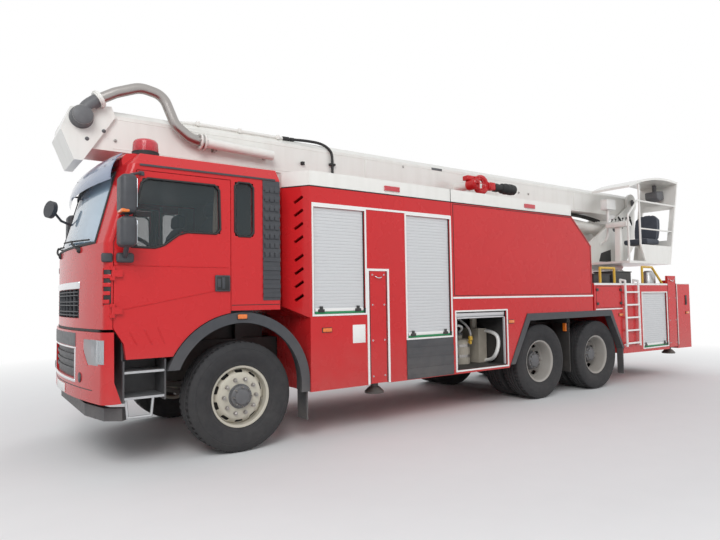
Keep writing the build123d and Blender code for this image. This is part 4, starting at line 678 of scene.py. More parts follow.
def dress_rims():
    for name, side in SIDES:
        dress_wheel('front', name, (0.0, FRONT_WHEEL_Y, HUB_Z), side, FRONT_WHEEL, FRONT_RIM)
        for number, x in enumerate(DRIVE_AXLES, 1):
            dress_wheel('drive', f'{number}_{name}', (x, REAR_WHEEL_Y, HUB_Z), side, DRIVE_WHEEL, REAR_RIM)


# Cab

def nose_strip(y0, y1, z0, z1, out, depth, edge=0.002, count=14):
    """A strip that follows the bowed front of the cab below the waist."""
    line = [y0 + (y1 - y0) * number / count for number in range(count + 1)]
    outer = [(nose_x(y, 0.0) + out, y, z0) for y in line]
    inner = [(nose_x(y, 0.0) + out - depth, y, z0) for y in reversed(line)]
    return plate(outer + inner, (0.0, 0.0, z1 - z0), edge)


def bowed(section, reach, count=16):
    """A closed section of (distance from the nose, height) carried across the cab along its bowed front."""
    line = [-reach + 2 * reach * number / count for number in range(count + 1)]
    piece = strand([spot(nose_x(line[0], 0.0) + ahead, line[0], z) for ahead, z in section])
    bpy.ops.mesh.edge_face_add()
    for before, after in zip(line, line[1:]):
        step = (nose_x(after, 0.0) - nose_x(before, 0.0), after - before, 0.0)
        bpy.ops.mesh.extrude_region_move(TRANSFORM_OT_translate={'value': step})
    closed()
    leave()
    return piece


def forehead():
    """Full roof edge over the windscreen, and the visor that stands ahead of it on three brackets."""
    brow = bowed([(-0.203, 2.69), (-0.196, 2.745), (-0.205, 2.785), (-0.232, 2.811), (-0.29, 2.8225),
                  (-0.36, 2.8225), (-0.36, 2.8), (-0.3, 2.79), (-0.222, 2.7)], 1.06)
    show('roof_brow', brow, RED, 'chassis', 50.0)
    blade = bowed([(-0.1, 2.568), (-0.09, 2.585), (-0.094, 2.64), (-0.112, 2.705), (-0.142, 2.765),
                   (-0.19, 2.812), (-0.196, 2.807), (-0.149, 2.76), (-0.119, 2.702), (-0.101, 2.638),
                   (-0.097, 2.587)], 1.07)
    show('visor_blade', blade, VISOR, 'chassis', 50.0)
    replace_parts(blade, 'sun_visor')
    brackets = []
    for y in (-0.9, 0.0, 0.9):
        x = nose_x(y, 0.0)
        brackets.append(bar((x - 0.215, y - 0.012, 2.7), (x - 0.112, y + 0.012, 2.716), 0.003))
    show('visor_brackets', brackets, JACK)


def corner_strip(first, last, z0, z1, out, depth, edge=0.002, count=8):
    """A strip round the left front corner of the cab, between two turns in degrees."""
    turns = [math.radians(first + (last - first) * number / count) for number in range(count + 1)]
    middle_x, middle_y, radius = 1.198, 1.15, 0.07
    outer = [(middle_x + (radius + out) * math.cos(a), middle_y + (radius + out) * math.sin(a), z0)
             for a in turns]
    back = radius + out - depth
    inner = [(middle_x + back * math.cos(a), middle_y + back * math.sin(a), z0) for a in reversed(turns)]
    return plate(outer + inner, (0.0, 0.0, z1 - z0), edge)


def windscreen_trim():
    """Rubber seal and two wipers."""
    rows = [(-1.01 + 2.02 * number / 20, 2.0) for number in range(21)]
    rows += [(0.96 - 1.92 * number / 20, 2.65) for number in range(21)] + [(-1.01, 2.0), (-0.91, 2.0)]
    seal = tube([(nose_x(y, z) + 0.001, y, z) for y, z in rows], 0.013, False, 3)
    show('windscreen_seal', seal, RUBBER)
    wipers = []
    for pivot, tip in ((0.62, -0.1), (-0.28, -0.98)):
        line = [(pivot + 0.26) + (tip - pivot - 0.26) * number / 8 for number in range(9)]
        height = [2.035 + 0.05 * number / 8 for number in range(9)]
        blade = tube([(nose_x(y, z) + 0.016, y, z) for y, z in zip(line, height)], 0.008, False, 2)
        spine = tube([(nose_x(y, z) + 0.028, y, z) for y, z in zip(line[1:-1], height[1:-1])], 0.006,
                     False, 2)
        middle = (line[4], height[4])
        arm = tube([(nose_x(pivot, 1.97) + 0.012, pivot, 1.965),
                    (nose_x(pivot, 2.0) + 0.05, pivot - 0.03, 1.99),
                    (nose_x(middle[0], middle[1]) + 0.034, middle[0], middle[1])], 0.01, True, 3)
        foot = lathe([(0.0, 0.03), (0.018, 0.028), (0.028, 0.016), (0.03, 0.0), (0.0, 0.0)],
                     (nose_x(pivot, 1.96) - 0.005, pivot, 1.96), 'X', 20)
        wipers += [blade, spine, arm, foot]
    show('wipers', wipers, RUBBER)


def grille_trim():
    """Bright bar, intake frame, grille ribs, dark seams, tow covers and a bare number plate."""
    show('grille_bar', nose_strip(-0.64, 0.64, 1.602, 1.668, 0.01, 0.02, 0.006), CHROME)
    frame_low = nose_strip(-0.6, 0.6, 0.745, 0.772, 0.026, 0.014, 0.004)
    frame_top = nose_strip(-0.6, 0.6, 1.052, 1.068, 0.024, 0.01, 0.003)
    sides = [nose_strip(y, y + 0.025, 0.772, 1.052, 0.024, 0.01, 0.003, 2) for y in (-0.6, 0.575)]
    show('intake_frame', [frame_low, frame_top] + sides, CHROME)
    show('bumper_centre_panel', nose_strip(-0.6, 0.6, 1.072, 1.196, 0.024, 0.012, 0.004), CAST)
    bars = [nose_strip(-0.6, 0.6, z, z + 0.01, 0.004, 0.012, 0.002)
            for z in (1.352, 1.385, 1.444, 1.477, 1.536, 1.568)]
    posts = [bar((nose_x(y, 1.4) - 0.03, y - 0.006, 1.335), (nose_x(y, 1.4) + 0.002, y + 0.006, 1.598),
                 0.002) for y in (-0.45, -0.3, -0.15, 0.0, 0.15, 0.3, 0.45)]
    show('grille_ribs', bars + posts, PLASTIC)
    seam = nose_strip(-1.02, 1.02, 0.708, 0.716, 0.0215, 0.006, 0.001)
    show('bumper_seam', seam, RUBBER)
    gap = nose_strip(-1.1, 1.1, 1.196, 1.238, 0.004, 0.03, 0.002)
    show('nose_gap', gap, RUBBER)
    hook = lathe([(0.0, 0.008), (0.04, 0.008), (0.046, 0.004), (0.046, -0.01), (0.0, -0.01)],
                 (nose_x(0.72, 0.0) + 0.02, 0.72, 0.8), 'X', 24)
    show_pair('tow_covers', hook, PLASTIC)
    plate_ = nose_strip(-0.23, 0.23, 0.615, 0.7, 0.03, 0.01, 0.003, 6)
    show('number_plate', plate_, TRIM_WHITE)


def corner_gills():
    """Dark crescent with red fins beside the front panel."""
    shade = corner_strip(18.0, 80.0, 1.455, 1.752, 0.0015, 0.004, 0.001)
    show_pair('corner_gill_shade', shade, RUBBER)
    fins = []
    for number, z in enumerate((1.462, 1.534, 1.606, 1.678)):
        fin = corner_strip(22.0 - 2 * number, 70.0 + 4 * number, z, z + 0.034, 0.011, 0.012, 0.004)
        fins.append(fin)
    rim = [corner_strip(14.0, 24.0, 1.44, 1.765, 0.007, 0.009, 0.003, 3)]
    show_pair('corner_gill_fins', fins + rim, RED)


def headlamp_set():
    """Reflector bowls with bulbs, a dark back and an amber end, and the clear wings round the corner."""
    bowls = []
    for y, radius in ((0.895, 0.066), (1.035, 0.058)):
        centre, rim = (nose_x(y, 0.0) - 0.04, y, 1.045), radius + 0.006
        bowls.append(lathe([(0.006, -0.04), (radius * 0.5, -0.032), (radius * 0.85, -0.01), (radius, 0.014),
                            (rim, 0.014), (rim, -0.046), (0.006, -0.046)], centre, 'X', 32))
        bowls.append(lathe([(0.0, 0.004), (0.01, 0.0), (0.013, -0.014), (0.01, -0.04), (0.0, -0.04)],
                           centre, 'X', 20))
    back = bar((1.205, 0.826, 0.936), (nose_x(0.98, 0.0) - 0.075, 1.122, 1.144), 0.008)
    amber = corner_strip(20.0, 70.0, 0.955, 1.13, -0.002, 0.02, 0.004)
    show_pair('lamp_bowls', bowls, MIRROR)
    show_pair('lamp_backs', back, CAST)
    show_pair('lamp_indicators', amber, AMBER_LENS)
    for name, finish, y, low, high, turn, out, depth in (
            ('lamp_wings', MIRROR, 1.112, 0.95, 1.146, 44.0, 0.0222, 0.005),
            ('lamp_wing_glass', LAMP, 1.11, 0.946, 1.15, 46.0, 0.0255, 0.003)):
        show_pair(name, [nose_strip(y, 1.15, low, high, out, depth, 0.001, 3),
                         corner_strip(0.0, turn, low, high, out, depth, 0.001, 6)], finish)
    outline = ((0.818, 0.922), (0.93, 0.922), (0.87, 0.985), (0.818, 1.05))
    corner = [(nose_x(y, 0.0) + 0.0205, y, z) for y, z in outline]
    show_pair('lamp_corners', plate(corner, (0.004, 0.0, 0.0)), RED)


def rounded(points, cut):
    """The corners of a closed line taken off at both ends of each run."""
    line = []
    for number, point in enumerate(points):
        before, after = Vector(points[number - 1]), Vector(points[(number + 1) % len(points)])
        here = Vector(point)
        for other in (before, after):
            run = other - here
            line.append(tuple(here + run.normalized() * min(cut, run.length * 0.4)))
    return line + [line[0], line[1]]


def door_trim():
    """Window seals, creases, handle grips, mirror cases and glasses, and indicators on each door."""
    line = rounded([(1.085, 1.955), (0.8, 1.955), (0.6, 2.11), (0.232, 2.11), (0.245, 2.575), (0.955, 2.575)],
                   0.045)
    for name, side in SIDES:
        body = f'door_{name}'
        y = side * (CAB_HALF + 0.001)
        seals = [tube([(x, y, z) for x, z in line], 0.011, False, 3),
                 tube([(x, y - side * 0.02, z) for x, z in line], 0.009, False, 3)]
        show(f'door_seal_{name}', seals, RUBBER, body)
        y += side * 0.0005
        creases = [tube([(x0, y, z0), (x1, y, z1)], 0.0045, False, 3) for x0, z0, x1, z1 in (
            (1.056, 1.206, 0.997, 1.102), (0.929, 1.221, 0.868, 1.099), (0.818, 1.243, 0.756, 1.099),
            (1.183, 1.397, 0.172, 1.589), (1.183, 1.791, 0.15, 1.791))]
        show(f'door_creases_{name}', creases, RED, body)
        grip = bar((0.196, side * 1.2385, 1.585), (0.226, side * 1.2465, 1.695))
        lever = bar((0.236, side * 1.2385, 1.6), (0.27, side * 1.2445, 1.68))
        well = bar((0.152, side * 1.2365, 1.572), (0.276, side * 1.2395, 1.703), 0.003)
        show(f'door_grip_{name}', [grip, lever], PLASTIC, body)
        show(f'door_handle_well_{name}', well, RUBBER, body)
        cases = show(f'mirror_cases_{name}', mirror_cases(side), PLASTIC, body, 50.0)
        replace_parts(cases, f'door_trim_{name}')
        panes = [bar((1.0525, side * 1.306, low), (1.0575, side * 1.45, high), 0.002)
                 for low, high in ((1.968, 2.162), (2.272, 2.516))]
        show(f'mirror_glass_{name}', panes, MIRROR, body)
        lamp = bar((1.12, side * 1.32, 2.222), (1.1885, side * 1.478, 2.252), 0.01, 3)
        show(f'mirror_indicator_{name}', lamp, AMBER_LENS, body)


def mirror_cases(side):
    """Rounded mirror cases on their post, with the foot on the door, the top stay and the handle plate."""
    cases = [bar((1.056, side * 1.277, low), (1.1895, side * 1.4795, high), 0.042, 5)
             for low, high in ((1.937, 2.194), (2.216, 2.549))]
    foot = bar((1.032, side * 1.221, 1.812), (1.178, side * 1.274, 1.899), 0.024, 4)
    stalk = tube([(1.11, side * 1.25, 1.86), (1.112, side * 1.3, 1.88), (1.12, side * 1.362, 1.95)], 0.022)
    post = tube([(1.12, side * 1.37, 1.95), (1.12, side * 1.37, 2.558)], 0.016, False)
    stay = tube([(1.12, side * 1.37, 2.54), (1.11, side * 1.358, 2.56), (0.98, side * 1.236, 2.612)], 0.012)
    shoe = bar((0.942, side * 1.221, 2.592), (0.99, side * 1.232, 2.632))
    handle = bar((0.14, side * 1.2205, 1.56), (0.29, side * 1.238, 1.715), 0.01, 3)
    return cases + [foot, stalk, post, stay, shoe, handle]


def quarter_trim():
    """Seals round the quarter windows, louvre cells, mirror bases and the lines of the sill."""
    line = rounded([(-0.11, 2.1), (0.085, 2.1), (0.085, 2.63), (-0.11, 2.63)], 0.04)
    seal = tube([(x, CAB_HALF + 0.001, z) for x, z in line], 0.011, False, 3)
    show_pair('quarter_seals', seal, RUBBER)
    cells = []
    for row in range(8):
        z = 1.9 + row * 0.094
        for column in range(3):
            x = -0.385 + column * 0.055
            cells.append(bar((x, CAB_HALF + 0.012, z), (x + 0.044, CAB_HALF + 0.0165, z + 0.06), 0.004))
    show_pair('louvre_cells', cells, PLASTIC)
    base = bar((1.197, 1.195, 1.815), (1.29, 1.232, 1.895), 0.016, 3)
    show_pair('mirror_bases', base, PLASTIC)
    lower = bar((-0.395, CAB_HALF - 0.001, 1.424), (0.12, CAB_HALF + 0.002, 1.431), 0.001)
    show_pair('sill_lines', lower, RUBBER)


def beacon_ribs():
    """Ribbed red domes with a cap, over the plain beacons."""
    profile = []
    for number in range(8):
        z = 2.872 + number * 0.0105
        radius = 0.1165 - 0.0006 * number
        profile += [(radius - 0.004, z), (radius, z + 0.002), (radius, z + 0.006),
                    (radius - 0.004, z + 0.008)]
    profile += [(0.108, 2.962), (0.1, 2.978), (0.084, 2.988), (0.04, 2.992), (0.0, 2.993)]
    dome = lathe(profile, (0.86, 0.95, 0.0), 'Z', 56)
    show_pair('beacon_domes', dome, RED_LENS)
    collar = lathe([(0.1, 2.82), (0.128, 2.822), (0.13, 2.842), (0.12, 2.85), (0.122, 2.868),
                    (0.1, 2.87)], (0.86, 0.95, 0.0), 'Z', 48)
    feet = [bar((0.86 + dx - 0.03, 0.95 + dy - 0.03, 2.8), (0.86 + dx + 0.03, 0.95 + dy + 0.03, 2.826),
                0.005) for dx, dy in ((0.115, 0.0), (-0.115, 0.0), (0.0, 0.115), (0.0, -0.115))]
    show_pair('beacon_collars', [collar] + feet, RUBBER)


def pad(name, middle, size, lean, body='chassis', channels=(0.36,)):
    """A crowned cushion with sewn channels, leaning about the cross axis."""
    clear()
    bpy.ops.mesh.primitive_cube_add(size=2.0, location=(0.0, 0.0, 0.0))
    piece = bpy.context.object
    edit(piece)
    bpy.ops.mesh.subdivide(number_cuts=15)
    leave()
    turn = Matrix.Rotation(lean, 3, 'Y')
    centre = spot(*middle)
    for point in piece.data.vertices:
        u, v, w = point.co
        swell = 0.70 + 0.30 * (1 - u**4) * (1 - v**4)
        seam = sum(math.exp(-((abs(v) - place) / 0.045)**2) for place in channels) * 0.10
        u, v, w = (u * (1 - 0.035 * (1 - v * v) - 0.06 * w * w), v * (1 - 0.035 * (1 - u * u) - 0.06 * w * w),
                   w * (swell - seam * (1 - u**6)))
        point.co = turn @ Vector((u * size[0] / 2, v * size[1] / 2, w * size[2] / 2)) + centre
    smoothed(piece)
    show(name, piece, SEAT_CLOTH, body, 60.0)


def cab_room():
    """Dashboard, wheel, seats, linings and curtains seen through the glass."""
    dash = [(1.15, 1.435), (1.195, 1.895), (1.15, 1.935), (0.835, 1.897), (0.803, 1.752), (0.95, 1.652),
            (0.98, 1.435)]
    room = [plate([(x, -1.085, z) for x, z in dash], (0.0, 2.17, 0.0), 0.018),
            bar((0.835, 0.36, 1.88), (1.06, 0.86, 1.968), 0.03, 3)]
    clear()
    bpy.ops.mesh.primitive_torus_add(
        major_radius=0.22, minor_radius=0.018, major_segments=48, minor_segments=12,
        location=spot(0.72, SEAT_Y, 1.96), rotation=(0.0, -math.atan2(180.0, 210.0), 0.0))
    ring = settle()
    outward(ring)
    room += [ring, tube([(0.9, SEAT_Y, 1.75), (0.725, SEAT_Y, 1.955)], 0.036, False)]
    room += [tube([(0.715, SEAT_Y, 1.962), (0.715 + dx, SEAT_Y + dy, 1.962 + dz)], 0.016, False)
             for dx, dy, dz in ((0.0, 0.21, 0.0), (0.0, -0.21, 0.0), (-0.155, 0.0, -0.133))]
    room += [bar((0.17, y - 0.16, 1.432), (0.53, y + 0.16, 1.7), 0.015) for y in (SEAT_Y, -SEAT_Y)]
    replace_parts(show('dashboard', room, INTERIOR), 'cab_interior')
    for name, y in (('driver', SEAT_Y), ('mate', -SEAT_Y)):
        pad(f'{name}_cushion', (0.355, y, 1.755), (0.52, 0.51, 0.15), 0.0)
        pad(f'{name}_back', (0.118, y, 2.045), (0.125, 0.49, 0.66), -0.158, channels=(0.34,))
        pad(f'{name}_headrest', (0.062, y, 2.445), (0.095, 0.28, 0.18), -0.05, channels=())
    lining = [bar((-0.33, -1.1, 2.728), (0.9, 1.1, 2.75), 0.01),
              bar((-0.338, -1.13, 1.436), (-0.326, 1.13, 2.745)),
              bar((-0.33, -1.1, 1.431), (0.98, 1.1, 1.438), 0.003)]
    for side in (1, -1):
        for x0, z0, x1, z1 in ((-0.325, 1.436, -0.115, 2.735), (-0.115, 1.436, 0.118, 2.095),
                               (0.09, 2.095, 0.124, 2.735)):
            lining.append(bar((x0, side * 1.14, z0), (x1, side * 1.156, z1)))
    show('cab_lining', lining, BEIGE)
    for name, side in SIDES:
        rail = tube([(0.095, side * 1.125, 2.655), (0.95, side * 1.125, 2.655)], 0.008, False)
        show(f'curtain_rail_{name}', rail, CHROME)
        drape = strand([spot(0.15 + 0.012 * fold, side * (1.118 + (0.014 if fold % 2 else -0.014)), 2.648)
                        for fold in range(9)])
        for _ in range(4):
            fall = (0.006, 0.0, -CURTAIN_DROP / 4)
            bpy.ops.mesh.extrude_edges_move(TRANSFORM_OT_translate={'value': fall})
        leave()
        smoothed(drape, 2)
        show(f'curtain_{name}', drape, CURTAIN, 'chassis', 80.0)


# Body

def shutter_slats():
    """Fine round-nosed slats of the roller shutters, and the dark boards under the second one."""
    leaves = []
    face = BODY_HALF - 0.018
    back = face - 0.026
    for front, rear, low, top in LOCKERS:
        x, z0, z1 = rear + 0.02, low + 0.02, top - 0.02
        count = round((z1 - z0) / SLAT)
        pitch = (z1 - z0) / count
        nose = []
        for number in range(count):
            foot, head = z0 + number * pitch, z0 + (number + 1) * pitch
            nose += [(x, face - 0.0035, foot + 0.0004), (x, face - 0.0008, foot + 0.004),
                     (x, face, foot + 0.012), (x, face - 0.0008, head - 0.004),
                     (x, face - 0.0035, head - 0.0004)]
        leaves.append(plate(nose + [(x, back, z1), (x, back, z0)], (front - rear - 0.04, 0.0, 0.0)))
    whole = show_pair('shutter_slats', leaves, SHUTTER, 25.0)
    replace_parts(whole, 'roller_shutters')
    boards = [bar((-2.784, BODY_HALF + 0.002, z), (-2.04, BODY_HALF + 0.0095, z + 0.104), 0.006, 3)
              for z in (0.526, 0.638, 0.75, 0.862)]
    show_pair('locker_boards', boards, PLASTIC)


def shutter_trim():
    """Lift bars, green strips, corner latches and black side seals on every shutter."""
    steel, strips, latches, seals = [], [], [], []
    face = BODY_HALF - 0.018
    for front, rear, low, top in LOCKERS:
        x0, x1 = rear + 0.02, front - 0.02
        steel.append(bar((x0 + 0.02, face - 0.004, low + 0.048), (x1 - 0.02, face + 0.007, low + 0.082),
                0.005))
        strips.append(bar((x0, face - 0.006, low + 0.02), (x1, face + 0.005, low + 0.046), 0.003))
        for x in (x0 + 0.055, x1 - 0.135):
            latches.append(bar((x, face, low + 0.04), (x + 0.08, face + 0.016, low + 0.074), 0.005))
            latches.append(bar((x + 0.02, face + 0.004, low + 0.066),
                    (x + 0.06, face + 0.015, low + 0.104), 0.004))
        for x in (x0, x1 - 0.016):
            seals.append(bar((x, face - 0.004, low + 0.022), (x + 0.016, face + 0.004, top - 0.022),
                    0.002))
        for x in (x0 - 0.004, x1 - 0.012):
            latches.append(bar((x, face, low + 0.018), (x + 0.016, face + 0.022, low + 0.075), 0.004))
    show_pair('shutter_lift_bars', steel, TRIM_WHITE)
    show_pair('shutter_strips', strips, GREEN)
    show_pair('shutter_latches', latches, JACK)
    show_pair('shutter_seals', seals, RUBBER)


def body_lines():
    """Panel gaps, gaskets and seams of the bodywork."""
    y = BODY_HALF + 0.0005
    tank = [(-2.835, 1.492), (-2.835, 2.655), (-5.322, 2.655), (-5.8, 2.238), (-5.8, 1.492),
            (-2.835, 1.492), (-2.835, 1.6)]
    gap = tube([(x, y, z) for x, z in tank], 0.0048, False, 2)
    hatch = [(-5.93, 1.269), (-5.93, 1.612), (-6.64, 1.612), (-6.64, 1.269), (-5.93, 1.269), (-5.93, 1.3)]
    flap = tube([(x, y, z) for x, z in hatch], 0.0035, False, 2)
    band = tube([(-0.55, 0.982, 2.677), (-0.738, 1.252, 2.677), (-5.333, 1.252, 2.677)], 0.006, False, 2)
    split = bar((-2.801, 1.249, 2.675), (-2.793, 1.2525, 2.842), 0.001)
    rear = [bar((-8.47, y - 0.001, 0.51), (-8.462, y + 0.001, 1.655), 0.001),
            bar((-7.185, y - 0.001, 0.52), (-7.18, y + 0.001, 1.62), 0.001)]
    show_pair('panel_gaps', [gap, flap, band, split] + rear, RUBBER)
    seams = [bar((x - 0.0015, y - 0.001, 2.51), (x + 0.0015, y + 0.0004, 2.665), 0.0005)
             for x in (-1.475, -2.025)]
    seams.append(bar((-2.0165, y - 0.001, 0.52), (-2.0135, y + 0.0004, 2.47), 0.0005))
    show_pair('panel_seams', seams, RED)
    strip = bar((-8.49, BODY_HALF, 0.55), (-8.474, BODY_HALF + 0.006, 1.655), 0.002)
    cap = bar((-8.95, BODY_HALF, 1.648), (-8.474, BODY_HALF + 0.006, 1.66), 0.002)
    hatch_rim = bar((-6.66, BODY_HALF, 1.236), (-5.905, BODY_HALF + 0.006, 1.256), 0.002)
    show_pair('rear_white_strips', [strip, cap, hatch_rim], TRIM_WHITE)


def marker_lamps():
    """Amber side markers on dark bases, and the bare pale plate behind the first one."""
    lamps, bases = [], []
    for x, z in ((-0.937, 1.144), (-3.889, 1.13), (-6.6, 1.147), (-8.84, 1.122)):
        bases.append(bar((x - 0.062, BODY_HALF - 0.002, z - 0.026),
                (x + 0.062, BODY_HALF + 0.006, z + 0.026), 0.006))
        lamps.append(bar((x - 0.054, BODY_HALF, z - 0.02), (x + 0.054, BODY_HALF + 0.018, z + 0.02),
                0.007, 3))
    arch_z = 1.315
    bases.append(bar((-0.035, 1.23, arch_z - 0.03), (0.075, 1.24, arch_z + 0.03), 0.005))
    lamps.append(bar((-0.028, 1.234, arch_z - 0.022), (0.068, 1.252, arch_z + 0.022), 0.008, 3))
    show_pair('marker_lamps', lamps, AMBER_LENS)
    show_pair('marker_bases', bases, JACK)
    pale = bar((-1.44, BODY_HALF - 0.001, 0.985), (-1.27, BODY_HALF + 0.002, 1.185), 0.001)
    show_pair('bare_plates', pale, TRIM_WHITE)


def outrigger_trim():
    """A lifting hook on each outrigger cover, and black strips at its edges: partly the dark gap there,
    partly painted edge shadow.
    """
    for place, x, half, top in (('front', -1.626, 0.1225, 1.8), ('rear', -8.3, 0.148, 1.8)):
        for name, side in SIDES:
            y = side * BODY_HALF
            body = f'outrigger_{place}_{name}'
            hook = tube([(x - 0.045, y, top - 0.075), (x - 0.045, y + side * 0.02, top - 0.085),
                    (x, y + side * 0.026, top - 0.1), (x + 0.045, y + side * 0.02, top - 0.085),
                    (x + 0.045, y, top - 0.075)], 0.006)
            bolts = [nut_form(x + dx, y, z, side, 0.008, 0.006) for dx in (0.04 - half, half - 0.04)
                     for z in (0.6, 1.0, 1.4, 1.74)]
            show(f'{body}_hook', [hook] + bolts, CHROME, body)
            # Black strips down both edges of the cover: the dark gap, with painted shadow along it.
            edges = [bar((x + dx - 0.004, y - side * 0.01, 0.53),
                    (x + dx + 0.004, y + side * 0.0015, top - 0.01), 0.001)
                     for dx in (-half + 0.006, half - 0.006)]
            show(f'{body}_edges', edges, RUBBER, body)


def pump_bay():
    """Dark lining, rolled shutter box, valves, hoses and gauges round the receivers in each pump bay."""
    x0, x1, low, top = -3.798, -2.852, 0.556, 1.281
    lining = [bar((x0, 0.532, low), (x1, 0.54, top), 0.002),
              bar((x0, 0.54, low), (x1, 1.235, low + 0.008), 0.002),
              bar((x1 - 0.008, 0.54, low), (x1, 1.235, top), 0.002),
              bar((x0, 0.54, low), (x0 + 0.008, 1.235, top), 0.002),
              bar((x0, 0.54, top - 0.008), (x1, 1.235, top), 0.002)]
    show_pair('bay_lining', lining, RUBBER)
    roll = plate([(x0 + 0.02, 1.1, 1.212), (x0 + 0.02, 1.2, 1.21), (x0 + 0.02, 1.232, 1.222),
                  (x0 + 0.02, 1.236, 1.27), (x0 + 0.02, 1.1, 1.27)], (x1 - x0 - 0.04, 0.0, 0.0), 0.012)
    lip = bar((x0 + 0.03, 1.215, 1.196), (x1 - 0.03, 1.236, 1.213), 0.005)
    slides = [bar((x, 1.205, low + 0.01), (x + 0.016, 1.236, 1.2), 0.004)
              for x in (x0 + 0.012, x1 - 0.028)]
    show_pair('bay_roll', [roll, lip] + slides, SHUTTER)
    straps, caps, brass, hoses = [], [], [], []
    for x in (-3.04, -3.38):
        for z in (0.1, 0.24):
            ring = [(0.1465, z), (0.149, z), (0.149, z + 0.035), (0.1465, z + 0.035)]
            straps.append(lathe(ring, (x, 0.76, low), 'Z', 48))
        caps.append(lathe([(0.0, 0.425), (0.04, 0.425), (0.052, 0.415), (0.052, 0.398), (0.046, 0.39),
                (0.0, 0.39)], (x, 0.76, low), 'Z', 32))
        brass.append(lathe([(0.0, 0.06), (0.022, 0.06), (0.03, 0.045), (0.03, 0.0), (0.018, -0.01),
                (0.018, -0.05), (0.0, -0.05)], (x - 0.05, 0.93, 0.885), 'Z', 24))
        brass.append(tube([(x - 0.05, 0.93, 0.86), (x - 0.05, 0.8, 0.86), (x - 0.02, 0.7, 0.9),
                (x, 0.62, 0.98)], 0.014))
    for x in (-2.99, -3.12, -3.25):
        caps.append(lathe([(0.0, 0.022), (0.04, 0.022), (0.046, 0.026), (0.05, 0.018), (0.05, -0.03),
                (0.0, -0.03)], (x, 0.575, 1.16), 'Y', 32))
    hoses.append(tube([(-3.77, 0.9, 1.0), (-3.772, 1.08, 0.98), (-3.765, 1.14, 0.86), (-3.72, 1.13, 0.7),
                       (-3.74, 1.02, 0.6), (-3.765, 0.86, 0.585)], 0.026))
    hoses.append(tube([(-3.04, 0.76, 0.98), (-3.06, 0.86, 1.06), (-3.2, 0.9, 1.1), (-3.38, 0.86, 1.06),
                       (-3.38, 0.76, 0.98)], 0.018))
    hoses.append(tube([(-3.45, 0.62, 1.2), (-3.5, 0.8, 1.1), (-3.56, 0.84, 0.92), (-3.58, 0.72, 0.8)],
                      0.016))
    show_pair('bay_straps', straps, STAINLESS)
    show_pair('bay_couplings', caps, CAST)
    show_pair('bay_valves', brass, YELLOW)
    show_pair('bay_hoses', hoses, TRIM_WHITE)


def rear_body_trim():
    """Hatch latches, locks, tail lamps and the fittings of the plain tail panel."""
    latches = []
    for x, z in ((-5.952, 1.556), (-6.615, 1.553), (-5.952, 1.335), (-6.615, 1.335)):
        latches.append(bar((x - 0.03, BODY_HALF - 0.001, z - 0.022),
                (x + 0.03, BODY_HALF + 0.014, z + 0.022), 0.006, 3))
    lock = bar((-8.83, BODY_HALF - 0.001, 1.265), (-8.775, BODY_HALF + 0.012, 1.445), 0.01, 3)
    grip = bar((-8.815, BODY_HALF + 0.006, 1.29), (-8.79, BODY_HALF + 0.02, 1.36), 0.006, 3)
    show_pair('rear_latches', latches + [lock, grip], JACK)
    red, amber, clear_, dark = [], [], [], []
    for y0, kind in ((0.8, clear_), (0.905, red), (1.01, amber), (1.115, red)):
        kind.append(bar((TAIL - 0.0006, y0, 0.64), (TAIL + 0.02, y0 + 0.098, 0.745), 0.006, 3))
    dark.append(bar((TAIL - 0.0002, 0.785, 0.628), (TAIL + 0.03, 1.228, 0.757), 0.008))
    red.append(bar((TAIL - 0.0006, 0.95, 0.56), (TAIL + 0.02, 1.1, 0.6), 0.004))
    red.append(bar((TAIL - 0.0006, 1.02, 1.52), (TAIL + 0.02, 1.18, 1.575), 0.006, 3))
    show_pair('tail_red_lamps', red, RED_LENS)
    show_pair('tail_amber_lamps', amber, AMBER_LENS)
    show_pair('tail_clear_lamps', clear_, LAMP)
    outline = rounded([(0.1, 0.82), (0.7, 0.82), (0.7, 1.45), (0.1, 1.45)], 0.03)
    lines = tube([(TAIL + 0.0042, y, z) for y, z in outline], 0.005, False, 2)
    knob = bar((TAIL - 0.0004, 0.14, 1.08), (TAIL + 0.02, 0.2, 1.2), 0.006)
    show_pair('tail_dark_trim', dark + [lines, knob], JACK)
    plate_ = bar((TAIL - 0.0004, -0.26, 0.575), (TAIL + 0.01, 0.26, 0.745), 0.003)
    show('tail_plate', plate_, TRIM_WHITE)


def roof_trim():
    """Walkway plates with studs on the roofs, and the tank lid with its hand wheel."""
    treads = []
    for x0, x1 in ((-0.95, -2.72), (-2.88, -5.2)):
        for side in (1, -1):
            treads.append(bar((x1, side * 0.62, BODY_TOP - 0.001), (x0, side * 1.12, BODY_TOP + 0.008),
                    0.003))
    studs = []
    for row in range(22):
        for column in range(4):
            x = -1.05 - row * 0.19
            if -2.9 < x < -2.7 or -4.65 < x < -3.95:
                continue
            y = 0.68 + column * 0.12
            studs.append(bar((x - 0.03, y - 0.006, BODY_TOP + 0.006),
                    (x + 0.03, y + 0.006, BODY_TOP + 0.011), 0.002))
    show('roof_walkways', treads, TREAD)
    show_pair('roof_studs', studs, TREAD)
    lid = lathe([(0.0, 0.062), (0.1, 0.06), (0.24, 0.046), (0.262, 0.042), (0.274, 0.03), (0.274, 0.008),
                 (0.0, 0.008)], (-4.3, 0.5, BODY_TOP), 'Z', 48)
    wheel = lathe([(0.075, 0.08), (0.085, 0.088), (0.095, 0.08), (0.085, 0.072), (0.075, 0.08)],
                  (-4.3, 0.5, BODY_TOP), 'Z', 32)
    spoke = [tube([(-4.39, 0.5, BODY_TOP + 0.08), (-4.21, 0.5, BODY_TOP + 0.08)], 0.008, False),
             tube([(-4.3, 0.41, BODY_TOP + 0.08), (-4.3, 0.59, BODY_TOP + 0.08)], 0.008, False),
             tube([(-4.3, 0.5, BODY_TOP + 0.05), (-4.3, 0.5, BODY_TOP + 0.085)], 0.016, False)]
    show('tank_lid', [lid, wheel] + spoke, WHITE)


# Boom and turntable

